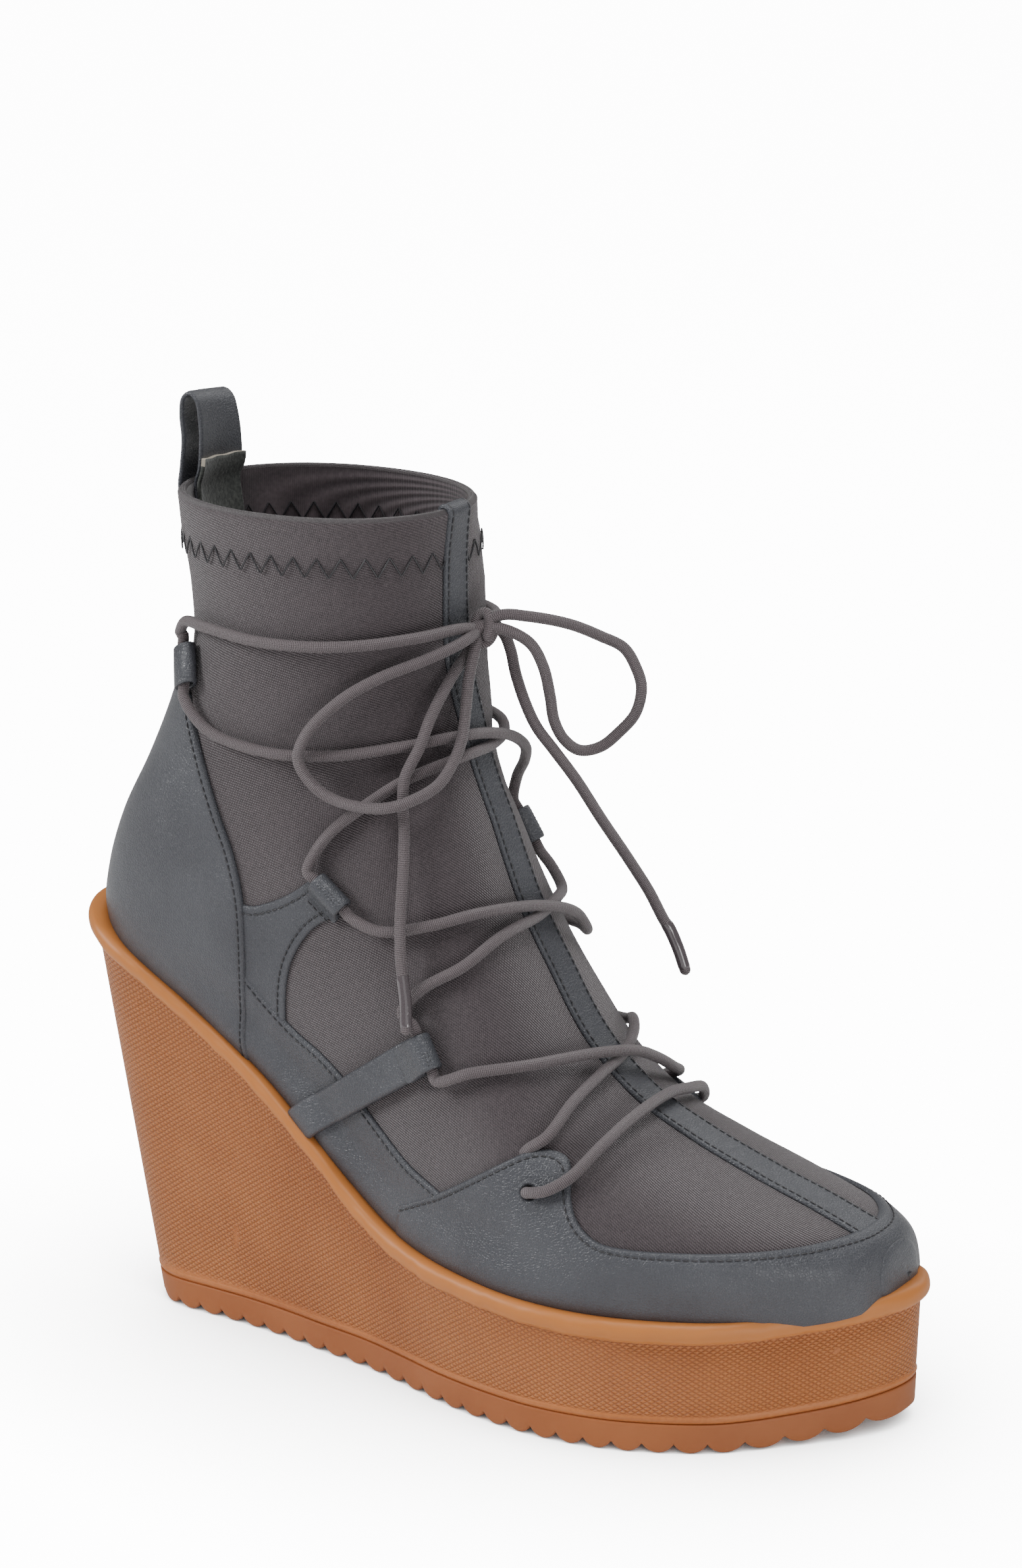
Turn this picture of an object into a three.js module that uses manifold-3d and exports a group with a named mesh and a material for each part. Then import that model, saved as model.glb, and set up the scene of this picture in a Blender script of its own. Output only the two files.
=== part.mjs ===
// Wedge ankle boot for the right foot: a hollow leather and stretch-fabric upper, laced through
// leather loops, on a gum-coloured wedge. Millimetres. X runs from the heel to the toe, -Y is the
// outer side, Z is up, and the tread's heel and forefoot stand on z = 0.
import * as THREE from "three";
import { mergeVertices } from "three/addons/utils/BufferGeometryUtils.js";
import Module from "manifold-3d";

const wasm = await Module();
wasm.setup();

// Sole sizes
const TREAD_LENGTH = 232;
const BALL_WIDTH = 89;
const HEEL_WIDTH = 47;
const HEEL_ROUND = 19;
const TOE_ROUND = 61.5;
const HEEL_HEIGHT = 112;
const PLATFORM = 32.5;
const TOE_SPRING = 4;
const TOE_BREAK = 0.84;
const HEEL_LEAN = 17;
const WALL_FLARE = 0.035;
const RIM_BAND = 6;
const RIM_PROUD = 2.4;
const RIM_STEP = 0.8;
const RIDGE = 1.2;
const RIDGE_PROUD = 0.6;
const CUP_DEPTH = 5;
const OUTSOLE = 8.4;
const SCALLOP_PITCH = 7.9;
const SCALLOP_DEPTH = 2.6;
const SCALLOP_FLAT = 1.6;

// Upper sizes
const UPPER_LENGTH = 246;
const HEEL_SET = 14.5;
const HEEL_SEAT = 101;
const FORE_SEAT = 34;
const SHAFT_HEIGHT = 142;
const ANKLE_WIDTH = 68;
const WALL = 2.2;
const INSOLE = 3.5;
const LEATHER = 1.3;
const STRIP_WIDTH = 9.5;
const STRIP_TURN = 16;
const PULL_WIDTH = 21.5;
const PULL_RISE = 25;
const PULL_OUTSIDE = 14;
const PULL_INSIDE = 20;
const PULL_FLATTENS = 0.7;
const PULL_TWIST = 0.11;
const COLLAR_STEP = 13.3;
const STRAP_THICK = 2.2;

// Lace sizes
const LACE = 3.2;
const LOOP_ROOM = 0.6;
const LOOP_LEATHER = 1.1;
const EYELET = 4.6;
const KNOT = 8;
const KNOT_HEIGHT = 10;
const BOW = 50;
const AGLET = 3.6;
const LACE_SIDES = 6;
const LACE_STEP = 7.6;
const LOOP_STRAIGHT = 0.3;
const KNOT_CLEAR = 0.9;
const KEEPER_WIDTH = 8.6;

// Running gap between pieces that meet
const GAP = 0.3;

// Smoothness of the lofts
const SOLE_POINTS = 22;
const AROUND = 24;
const STATIONS = 22;

// Tread outline: place along the tread, centre line towards the inner side and half width,
// as shares of TREAD_LENGTH and of half BALL_WIDTH. The heel rows follow HEEL_WIDTH instead.
const TREAD = [
  { along: 0.0, centre: 0.02, heel: 0.96, ball: 0 },
  { along: 0.16, centre: 0.01, heel: 1.03, ball: 0 },
  { along: 0.229, centre: -0.01, heel: 1.085, ball: 0 },
  { along: 0.294, centre: -0.04, heel: 0, ball: 0.611 },
  { along: 0.367, centre: -0.06, heel: 0, ball: 0.663 },
  { along: 0.432, centre: -0.08, heel: 0, ball: 0.746 },
  { along: 0.501, centre: -0.09, heel: 0, ball: 0.854 },
  { along: 0.575, centre: -0.08, heel: 0, ball: 0.948 },
  { along: 0.639, centre: -0.06, heel: 0, ball: 1.0 },
  { along: 0.713, centre: -0.02, heel: 0, ball: 1.002 },
  { along: 0.782, centre: 0.03, heel: 0, ball: 0.948 },
  { along: 0.851, centre: 0.1, heel: 0, ball: 0.888 },
  { along: 0.92, centre: 0.2, heel: 0, ball: 0.764 },
  { along: 1.0, centre: 0.31, heel: 0, ball: 0.674 },
];

// Lower edge of the rim: place along the tread and share of the rise from PLATFORM to HEEL_HEIGHT
const RIM_LINE = [
  { along: 0.0, rise: 1.0 },
  { along: 0.06, rise: 0.885 },
  { along: 0.147, rise: 0.712 },
  { along: 0.235, rise: 0.53 },
  { along: 0.318, rise: 0.325 },
  { along: 0.36, rise: 0.205 },
  { along: 0.415, rise: 0.102 },
  { along: 0.482, rise: 0.045 },
  { along: 0.57, rise: 0.02 },
  { along: 0.7, rise: 0.0 },
  { along: 1.0, rise: 0.0 },
];

// Sections of the upper from the toe to the collar. Top and bottom ends of each section are an
// x share of UPPER_LENGTH, a lift share of HEEL_SEAT - FORE_SEAT and a rise share of SHAFT_HEIGHT.
// Width shares follow BALL_WIDTH on the foot and ANKLE_WIDTH on the shaft. The widest place is a
// share from the bottom end, and crown and base say how square the two ends are.
const SECTIONS = [
  { top: [0.985, 0, 0.133], foot: [0.987, 0, 0.02], ball: 0.12, ankle: 0, wide: 0.45, crown: 2.4, base: 2.4 },
  { top: [0.973, 0, 0.156], foot: [0.979, 0, 0.0], ball: 0.2, ankle: 0, wide: 0.42, crown: 2.6, base: 2.6 },
  { top: [0.946, 0, 0.174], foot: [0.96, 0, -0.02], ball: 0.275, ankle: 0, wide: 0.4, crown: 2.8, base: 2.7 },
  { top: [0.903, 0, 0.2], foot: [0.915, 0, -0.03], ball: 0.36, ankle: 0, wide: 0.38, crown: 2.8, base: 2.8 },
  { top: [0.833, 0, 0.238], foot: [0.848, 0, -0.035], ball: 0.445, ankle: 0, wide: 0.36, crown: 2.7, base: 2.8 },
  { top: [0.755, 0, 0.289], foot: [0.77, 0, -0.035], ball: 0.485, ankle: 0, wide: 0.35, crown: 2.5, base: 2.8 },
  { top: [0.68, 0, 0.356], foot: [0.695, 0, -0.035], ball: 0.487, ankle: 0, wide: 0.34, crown: 2.35, base: 2.8 },
  { top: [0.618, 0, 0.458], foot: [0.615, 0, -0.035], ball: 0.47, ankle: 0, wide: 0.34, crown: 2.4, base: 2.8 },
  { top: [0.57, 0, 0.592], foot: [0.533, 0, -0.03], ball: 0.43, ankle: 0, wide: 0.38, crown: 2.5, base: 2.7 },
  { top: [0.537, 0.25, 0.58], foot: [0.451, 0.03, 0.0], ball: 0, ankle: 0.525, wide: 0.42, crown: 2.6, base: 2.6 },
  { top: [0.516, 0.6, 0.506], foot: [0.353, 0.27, 0.0], ball: 0, ankle: 0.485, wide: 0.47, crown: 2.6, base: 2.6 },
  { top: [0.5, 0.85, 0.465], foot: [0.247, 0.57, 0.0], ball: 0, ankle: 0.47, wide: 0.52, crown: 2.5, base: 2.7 },
  { top: [0.486, 1, 0.458], foot: [0.13, 0.8, 0.0], ball: 0, ankle: 0.47, wide: 0.54, crown: 2.4, base: 2.8 },
  { top: [0.475, 1, 0.514], foot: [0.03, 0.98, 0.0], ball: 0, ankle: 0.473, wide: 0.54, crown: 2.3, base: 2.8 },
  { top: [0.467, 1, 0.563], foot: [-0.004, 1, 0.09], ball: 0, ankle: 0.47, wide: 0.52, crown: 2.1, base: 2.6 },
  { top: [0.459, 1, 0.612], foot: [-0.003, 1, 0.19], ball: 0, ankle: 0.475, wide: 0.52, crown: 2.1, base: 2.4 },
  { top: [0.451, 1, 0.668], foot: [0.02, 1, 0.31], ball: 0, ankle: 0.48, wide: 0.52, crown: 2.1, base: 2.3 },
  { top: [0.445, 1, 0.725], foot: [0.058, 1, 0.435], ball: 0, ankle: 0.485, wide: 0.52, crown: 2.1, base: 2.2 },
  { top: [0.443, 1, 0.788], foot: [0.094, 1, 0.565], ball: 0, ankle: 0.49, wide: 0.5, crown: 2.1, base: 2.2 },
  { top: [0.443, 1, 0.852], foot: [0.117, 1, 0.69], ball: 0, ankle: 0.495, wide: 0.5, crown: 2.1, base: 2.1 },
  { top: [0.444, 1, 0.915], foot: [0.117, 1, 0.805], ball: 0, ankle: 0.505, wide: 0.5, crown: 2.1, base: 2.1 },
  { top: [0.447, 1, 0.962], foot: [0.108, 1, 0.91], ball: 0, ankle: 0.515, wide: 0.5, crown: 2.1, base: 2.1 },
  { top: [0.45, 1, 1.0], foot: [0.102, 1, 1.0], ball: 0, ankle: 0.52, wide: 0.5, crown: 2.1, base: 2.1 },
];
const TOE_TIP = { x: 0.992, rise: 0.07 };

// Outlines of the leather panels in side view: along is a share of UPPER_LENGTH, above is the
// height over the rim as a share of SHAFT_HEIGHT
const COUNTER_EDGE = [
  { along: 0.164, above: 0.668 },
  { along: 0.189, above: 0.587 },
  { along: 0.213, above: 0.492 },
  { along: 0.23, above: 0.433 },
  { along: 0.242, above: 0.362 },
  { along: 0.244, above: 0.265 },
  { along: 0.24, above: 0.155 },
  { along: 0.234, above: 0.064 },
  { along: 0.238, above: -0.06 },
];
const COUNTER_TOP = [
  { along: 0.135, above: 0.655 },
  { along: 0.1, above: 0.64 },
  { along: 0.05, above: 0.6 },
  { along: -0.1, above: 0.6 },
];
const TAB_UPPER_EDGE = [
  { along: 0.2, above: 0.34 },
  { along: 0.246, above: 0.352 },
  { along: 0.278, above: 0.406 },
  { along: 0.311, above: 0.48 },
  { along: 0.335, above: 0.545 },
  { along: 0.348, above: 0.58 },
];
const TAB_LOWER_EDGE = [
  { along: 0.376, above: 0.55 },
  { along: 0.362, above: 0.515 },
  { along: 0.335, above: 0.44 },
  { along: 0.311, above: 0.35 },
  { along: 0.299, above: 0.277 },
  { along: 0.291, above: 0.15 },
];
const QUARTER_EDGE = [
  { along: 0.2, above: 0.215 },
  { along: 0.242, above: 0.2 },
  { along: 0.27, above: 0.185 },
  { along: 0.307, above: 0.182 },
  { along: 0.343, above: 0.198 },
  { along: 0.376, above: 0.21 },
  { along: 0.409, above: 0.2 },
  { along: 0.445, above: 0.182 },
  { along: 0.474, above: 0.163 },
  { along: 0.526, above: 0.139 },
  { along: 0.57, above: 0.1 },
];
const MUDGUARD_EDGE = [
  { along: 0.395, above: -0.01 },
  { along: 0.437, above: 0.036 },
  { along: 0.47, above: 0.077 },
  { along: 0.526, above: 0.146 },
  { along: 0.571, above: 0.201 },
  { along: 0.608, above: 0.246 },
  { along: 0.632, above: 0.271 },
  { along: 0.652, above: 0.277 },
  { along: 0.673, above: 0.265 },
  { along: 0.683, above: 0.24 },
  { along: 0.691, above: 0.205 },
  { along: 0.705, above: 0.169 },
  { along: 0.73, above: 0.142 },
  { along: 0.77, above: 0.135 },
  { along: 0.811, above: 0.135 },
  { along: 0.904, above: 0.131 },
  { along: 1.1, above: 0.12 },
];
const EYELET_PLACE = { along: 0.644, above: 0.203 };

// Corners of the folded strap in side view, tail first, and the two ends of each lace loop's bore.
// The inner tab is the longer one.
const STRAP_CORNERS = [
  { along: 0.291, above: -0.01 },
  { along: 0.326, above: -0.01 },
  { along: 0.5215, above: 0.402 },
  { along: 0.492, above: 0.44 },
];
const STRAP_BORE = [
  { along: 0.488, above: 0.43 },
  { along: 0.511, above: 0.377 },
];
const TAB_BORE = {
  lateral: [{ along: 0.348, above: 0.568 }, { along: 0.3835, above: 0.572 }],
  medial: [{ along: 0.453, above: 0.742 }, { along: 0.474, above: 0.692 }],
};
const KEEPER_BORE = [
  { along: 0.1585, above: 0.749 },
  { along: 0.1705, above: 0.691 },
];

// Middle line of the centre strip in plan: along as above, aside is a share of STRIP_WIDTH
const STRIP_LINE = [
  { along: 0.3, aside: -0.05 },
  { along: 0.45, aside: 0.0 },
  { along: 0.5, aside: 0.25 },
  { along: 0.57, aside: 0.42 },
  { along: 0.66, aside: 0.5 },
  { along: 0.8, aside: 0.63 },
  { along: 1.0, aside: 0.63 },
];

// Runs of the lace over the upper, in the order of the lace's way up. Section counts from the toe,
// turn is degrees from the top round the outer side, lift is the height of the lace's middle over
// the upper's face as a share of LACE.
const BAR_RUN = [
  { section: 6.6, turn: 69, lift: 1.2 },
  { section: 6.3, turn: 64, lift: 1.2 },
  { section: 6.0, turn: 54, lift: 1.2 },
  { section: 5.8, turn: 34, lift: 1.1 },
  { section: 5.75, turn: 14, lift: 1.2 },
  { section: 5.8, turn: -6, lift: 1.3 },
  { section: 5.85, turn: -22, lift: 1.1 },
  { section: 6.0, turn: -42, lift: 1.2 },
  { section: 6.3, turn: -60, lift: 1.2 },
  { section: 6.6, turn: -68, lift: 1.2 },
];
const TOE_TO_INNER_STRAP = [
  { section: 6.62, turn: 47, lift: 0.9 },
  { section: 6.45, turn: 28, lift: 0.9 },
  { section: 6.4, turn: 10, lift: 1.1 },
  { section: 6.52, turn: -5, lift: 1.2 },
  { section: 6.8, turn: -18, lift: 1.4 },
  { section: 7.2, turn: -34, lift: 1.2 },
  { section: 7.9, turn: -56, lift: 0.9 },
];
const TOE_TO_OUTER_STRAP = [
  { section: 6.5, turn: -46, lift: 0.9 },
  { section: 6.5, turn: -34, lift: 1.1 },
  { section: 6.6, turn: -20, lift: 1.5 },
  { section: 6.8, turn: -8, lift: 1.8 },
  { section: 6.95, turn: 6, lift: 1.4 },
  { section: 7.5, turn: 36, lift: 0.9 },
  { section: 8.2, turn: 61, lift: 0.9 },
];
const STRAP_TO_INNER_TAB = [
  { section: 9.85, turn: 77, lift: 0.9 },
  { section: 9.7, turn: 66, lift: 0.8 },
  { section: 9.15, turn: 44, lift: 0.8 },
  { section: 8.9, turn: 22, lift: 0.9 },
  { section: 8.8, turn: 0, lift: 1.1 },
  { section: 9.0, turn: -14, lift: 1.1 },
  { section: 9.3, turn: -28, lift: 1.0 },
  { section: 9.9, turn: -39, lift: 1.0 },
];
const STRAP_TO_OUTER_TAB = [
  { section: 9.95, turn: -76, lift: 1.1 },
  { section: 9.7, turn: -64, lift: 1.2 },
  { section: 9.0, turn: -47, lift: 1.2 },
  { section: 8.5, turn: -32, lift: 1.3 },
  { section: 8.65, turn: -17, lift: 1.8 },
  { section: 8.95, turn: 0, lift: 1.6 },
  { section: 9.55, turn: 28, lift: 0.9 },
  { section: 10.2, turn: 52, lift: 0.8 },
  { section: 10.9, turn: 72, lift: 0.9 },
];
const TAB_TO_INNER_KEEPER = [
  { section: 12.85, turn: 74, lift: 0.8 },
  { section: 13.1, turn: 66, lift: 0.75 },
  { section: 13.25, turn: 55, lift: 0.75 },
  { section: 13.4, turn: 38, lift: 0.8 },
  { section: 13.35, turn: 16, lift: 1.05 },
  { section: 13.4, turn: -4, lift: 1.1 },
  { section: 13.75, turn: -17, lift: 1.6 },
  { section: 14.5, turn: -31, lift: 1.6 },
  { section: 15.4, turn: -54, lift: 1.0 },
  { section: 16.5, turn: -84, lift: 0.8 },
  { section: 17.6, turn: -108, lift: 0.9 },
];
const TAB_TO_OUTER_KEEPER = [
  { section: 12.2, turn: -42, lift: 1.8 },
  { section: 12.55, turn: -32, lift: 2.5 },
  { section: 13.05, turn: -23, lift: 2.9 },
  { section: 13.55, turn: -14, lift: 2.3 },
  { section: 13.9, turn: -2, lift: 1.5 },
  { section: 14.2, turn: 14, lift: 1.1 },
  { section: 14.65, turn: 34, lift: 0.8 },
  { section: 15.3, turn: 58, lift: 0.75 },
  { section: 16.1, turn: 80, lift: 0.75 },
  { section: 17.2, turn: 105, lift: 0.8 },
];
const KEEPER_TO_KNOT = [
  { section: 19.15, turn: 141, lift: 1.3 },
  { section: 19.4, turn: 136, lift: 1.1 },
  { section: 19.3, turn: 118, lift: 0.8 },
  { section: 18.9, turn: 92, lift: 0.75 },
  { section: 18.5, turn: 70, lift: 0.75 },
  { section: 18.15, turn: 48, lift: 0.8 },
  { section: 17.9, turn: 24, lift: 1.1 },
  { section: 17.85, turn: 8, lift: 1.7 },
];
const OUTER_LOOP = [
  { section: 17.5, turn: 8, lift: 2.4 },
  { section: 17.25, turn: 22, lift: 1.7 },
  { section: 17.1, turn: 42, lift: 1.1 },
  { section: 16.85, turn: 56, lift: 1.2 },
  { section: 16.3, turn: 66, lift: 1.8 },
  { section: 15.7, turn: 68, lift: 2.0 },
  { section: 15.0, turn: 65, lift: 2.0 },
  { section: 14.2, turn: 60, lift: 2.0 },
  { section: 13.3, turn: 54, lift: 2.2 },
  { section: 12.85, turn: 46, lift: 2.7 },
  { section: 12.7, turn: 38, lift: 2.8 },
  { section: 12.8, turn: 28, lift: 2.5 },
  { section: 13.3, turn: 20, lift: 2.3 },
  { section: 14.1, turn: 12, lift: 2.3 },
  { section: 15.1, turn: 3, lift: 2.1 },
  { section: 16.1, turn: -6, lift: 2.6 },
  { section: 16.9, turn: -10, lift: 3.0 },
];
const OUTER_END = [
  { section: 17.6, turn: -5, lift: 1.4 },
  { section: 16.9, turn: 1, lift: 1.2 },
  { section: 16.3, turn: 11, lift: 1.2 },
  { section: 15.3, turn: 24, lift: 1.7 },
  { section: 14.5, turn: 30, lift: 2.0 },
  { section: 13.4, turn: 37, lift: 1.9 },
  { section: 12.8, turn: 41, lift: 1.6 },
  { section: 12.2, turn: 45, lift: 1.3 },
  { section: 11.4, turn: 53, lift: 1.4 },
  { section: 10.7, turn: 62, lift: 2.0 },
  { section: 10.35, turn: 66, lift: 2.1 },
  { section: 10.15, turn: 68, lift: 2.1 },
  { section: 9.75, turn: 71, lift: 2.2 },
  { section: 9.5, turn: 74, lift: 2.4 },
];

// Free lace on the inner side, as shares of BOW from the knot's middle
const INNER_LOOP = [
  { ahead: 0.1, aside: 0.02, above: 0.04 },
  { ahead: 0.23, aside: 0.11, above: 0.03 },
  { ahead: 0.39, aside: 0.28, above: -0.03 },
  { ahead: 0.51, aside: 0.41, above: -0.11 },
  { ahead: 0.61, aside: 0.49, above: -0.18 },
  { ahead: 0.67, aside: 0.52, above: -0.29 },
  { ahead: 0.7, aside: 0.53, above: -0.4 },
  { ahead: 0.67, aside: 0.52, above: -0.55 },
  { ahead: 0.59, aside: 0.48, above: -0.66 },
  { ahead: 0.51, aside: 0.41, above: -0.74 },
  { ahead: 0.43, aside: 0.32, above: -0.75 },
  { ahead: 0.37, aside: 0.25, above: -0.68 },
  { ahead: 0.33, aside: 0.21, above: -0.57 },
  { ahead: 0.32, aside: 0.18, above: -0.42 },
  { ahead: 0.3, aside: 0.14, above: -0.25 },
  { ahead: 0.25, aside: 0.08, above: -0.11 },
  { ahead: 0.13, aside: 0.0, above: -0.03 },
];
const INNER_END = [
  { ahead: 0.0, aside: 0.07, above: -0.03 },
  { ahead: 0.1, aside: 0.14, above: -0.09 },
  { ahead: 0.16, aside: 0.15, above: -0.18 },
  { ahead: 0.19, aside: 0.14, above: -0.31 },
  { ahead: 0.22, aside: 0.12, above: -0.47 },
  { ahead: 0.27, aside: 0.14, above: -0.6 },
  { ahead: 0.35, aside: 0.19, above: -0.73 },
  { ahead: 0.44, aside: 0.27, above: -0.91 },
  { ahead: 0.54, aside: 0.37, above: -1.14 },
  { ahead: 0.65, aside: 0.48, above: -1.38 },
  { ahead: 0.75, aside: 0.55, above: -1.58 },
  { ahead: 0.82, aside: 0.59, above: -1.74 },
  { ahead: 0.85, aside: 0.61, above: -1.8 },
  { ahead: 0.9, aside: 0.62, above: -1.91 },
  { ahead: 0.94, aside: 0.63, above: -2.03 },
];

// Arch of the pull loop over the collar's back, as shares of PULL_RISE
const PULL_LINE = [
  { ahead: -0.03, rise: 0.2 },
  { ahead: 0.0, rise: 0.5 },
  { ahead: -0.02, rise: 0.76 },
  { ahead: 0.01, rise: 0.94 },
  { ahead: 0.1, rise: 1.0 },
  { ahead: 0.19, rise: 0.93 },
  { ahead: 0.23, rise: 0.74 },
  { ahead: 0.24, rise: 0.48 },
  { ahead: 0.21, rise: 0.18 },
];
const KNOT_PLACE = { section: 17.9, turn: -10, lift: 2.2 };

// Smooth curve through values at rising places, flat beyond its ends
function curveAt(places, values, place) {
  const last = places.length - 1;
  if (place <= places[0]) return values[0];
  if (place >= places[last]) return values[last];
  let i = 0;
  while (places[i + 1] < place) i += 1;
  const slope = (k) => {
    const a = Math.max(k - 1, 0);
    const b = Math.min(k + 1, last);
    return (values[b] - values[a]) / (places[b] - places[a]);
  };
  const h = places[i + 1] - places[i];
  const s = (place - places[i]) / h;
  const [s2, s3] = [s * s, s * s * s];
  return (2 * s3 - 3 * s2 + 1) * values[i] + (s3 - 2 * s2 + s) * h * slope(i)
    + (3 * s2 - 2 * s3) * values[i + 1] + (s3 - s2) * h * slope(i + 1);
}

// Closed manifold solid from a three.js geometry, and back
function solidOf(geometry) {
  const bare = geometry.clone();
  bare.deleteAttribute("normal");
  bare.deleteAttribute("uv");
  const merged = mergeVertices(bare, 1e-4);
  const mesh = new wasm.Mesh({
    numProp: 3,
    vertProperties: Float32Array.from(merged.attributes.position.array),
    triVerts: Uint32Array.from(merged.index.array),
  });
  return new wasm.Manifold(mesh);
}

function geometryOf(solid) {
  const mesh = solid.getMesh();
  const geometry = new THREE.BufferGeometry();
  geometry.setAttribute("position", new THREE.BufferAttribute(Float32Array.from(mesh.vertProperties), 3));
  geometry.setIndex(new THREE.BufferAttribute(Uint32Array.from(mesh.triVerts), 1));
  geometry.computeVertexNormals();
  return geometry;
}

// Closed surface through rings of equal length. Each end is a ladder of strips across the ring,
// or a fan about its middle, or a single point.
function loft(rings, startCap, endCap) {
  const count = rings[0].length;
  const points = rings.flat();
  const faces = [];
  for (let r = 0; r + 1 < rings.length; r += 1) {
    for (let k = 0; k < count; k += 1) {
      const next = (k + 1) % count;
      const [a, b] = [r * count + k, r * count + next];
      faces.push([a, b, b + count], [a, b + count, a + count]);
    }
  }
  const cap = (base, kind, flip) => {
    const add = (a, b, c) => faces.push(flip ? [a, c, b] : [a, b, c]);
    if (kind === "ladder") {
      for (let k = 0; k < count / 2 - 1; k += 1) {
        const [a, b] = [base + k, base + k + 1];
        const [c, d] = [base + count - 1 - k, base + count - 2 - k];
        add(a, c, b);
        add(b, c, d);
      }
      return;
    }
    const middle = kind ?? rings[base / count].reduce((sum, p) => sum.add(p), new THREE.Vector3())
      .divideScalar(count);
    points.push(middle);
    for (let k = 0; k < count; k += 1) add(base + k, points.length - 1, base + (k + 1) % count);
  };
  cap(0, startCap, false);
  cap((rings.length - 1) * count, endCap, true);
  const geometry = new THREE.BufferGeometry();
  geometry.setAttribute("position", new THREE.Float32BufferAttribute(points.flatMap((p) => [p.x, p.y, p.z]), 3));
  geometry.setIndex(faces.flat());
  return geometry;
}

// Solid of a side-view outline pushed through the width
function sideSolid(outline, from, to) {
  const shape = new THREE.Shape(outline.map(([x, z]) => new THREE.Vector2(x, z)));
  const geometry = new THREE.ExtrudeGeometry(shape, { depth: to - from, bevelEnabled: false });
  geometry.rotateX(Math.PI / 2);
  geometry.translate(0, to, 0);
  return solidOf(geometry);
}

// Sole
const treadPlaces = TREAD.map((row) => row.along);
const treadCentres = TREAD.map((row) => row.centre * BALL_WIDTH / 2);
const treadHalves = TREAD.map((row) => (row.heel * HEEL_WIDTH + row.ball * BALL_WIDTH) / 2);
const HEEL_SQUARE = 2.7;

function treadHalf(x) {
  const along = x / TREAD_LENGTH;
  let half = curveAt(treadPlaces, treadHalves, along);
  const fromHeel = (HEEL_ROUND - x) / HEEL_ROUND;
  const toToe = (x - TREAD_LENGTH + TOE_ROUND) / TOE_ROUND;
  if (fromHeel > 0) half *= Math.pow(Math.max(1 - Math.pow(fromHeel, HEEL_SQUARE), 0), 1 / HEEL_SQUARE);
  if (toToe > 0) half *= Math.sqrt(Math.max(1 - toToe * toToe, 0));
  return half;
}

const treadCentre = (x) => curveAt(treadPlaces, treadCentres, x / TREAD_LENGTH);

function rimHeight(x) {
  const rise = curveAt(RIM_LINE.map((row) => row.along), RIM_LINE.map((row) => row.rise), x / TREAD_LENGTH);
  return PLATFORM + rise * (HEEL_HEIGHT - PLATFORM) + toeSpring(x) * 0.8;
}

function toeSpring(x) {
  const start = TOE_BREAK * TREAD_LENGTH;
  const reach = Math.max(x - start, 0) / (TREAD_LENGTH - start);
  return TOE_SPRING * reach * reach;
}

// Tread outline as points round from the heel along the outer side and back, with outward normals
const soleOutline = (() => {
  const outer = [];
  const inner = [];
  for (let k = 0; k < SOLE_POINTS; k += 1) {
    const x = TREAD_LENGTH / 2 * (1 - Math.cos(Math.PI * (k + 0.5) / SOLE_POINTS));
    outer.push(new THREE.Vector2(x, treadCentre(x) - treadHalf(x)));
    inner.push(new THREE.Vector2(x, treadCentre(x) + treadHalf(x)));
  }
  const points = [...outer, ...inner.reverse()];
  return points.map((point, k) => {
    const before = points[(k + points.length - 1) % points.length];
    const after = points[(k + 1) % points.length];
    const normal = new THREE.Vector2(after.y - before.y, before.x - after.x).normalize();
    return { point, normal };
  });
})();

// How far the heel's back leans out over the tread at a height
function leanAt(x, z) {
  return HEEL_LEAN * z / HEEL_HEIGHT * Math.pow(Math.max(1 - x / TREAD_LENGTH, 0), 1.6);
}

// One ring of the sole: height and growth are worked out at each outline point's place x
function soleRing(heightAt, growth) {
  return soleOutline.map(({ point, normal }) => {
    const z = heightAt(point.x);
    const grown = growth + WALL_FLARE * z;
    return new THREE.Vector3(point.x + normal.x * grown - leanAt(point.x, z), point.y + normal.y * grown, z);
  });
}

const bottomHeight = (x) => toeSpring(x);
const outsoleTop = (x) => toeSpring(x) + OUTSOLE;

function makeOutsole() {
  const block = solidOf(loft([
    soleRing(bottomHeight, -0.4),
    soleRing((x) => bottomHeight(x) + 0.8, 0.2),
    soleRing(outsoleTop, 0.2),
  ], "ladder", "ladder"));
  const grooves = [];
  const halfPitch = SCALLOP_PITCH / 2;
  const count = Math.ceil(TREAD_LENGTH / SCALLOP_PITCH);
  const ceiling = [];
  for (let k = 0; k <= count; k += 1) {
    const x = k * SCALLOP_PITCH - 0.35 * SCALLOP_PITCH;
    const lobe = [[0, 1], [0.24, 0.3], [1 - SCALLOP_FLAT / halfPitch / 2, 0]];
    const shape = [...lobe, ...lobe.slice().reverse().map(([u, v]) => [2 - u, v])].slice(0, -1);
    for (const [u, v] of shape) {
      const px = x + u * halfPitch;
      ceiling.push([px, bottomHeight(px) + v * SCALLOP_DEPTH]);
    }
  }
  const last = ceiling[ceiling.length - 1][0];
  grooves.push(...ceiling, [last, -10], [ceiling[0][0], -10]);
  return block.subtract(sideSolid(grooves.reverse(), -BALL_WIDTH, BALL_WIDTH));
}

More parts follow.
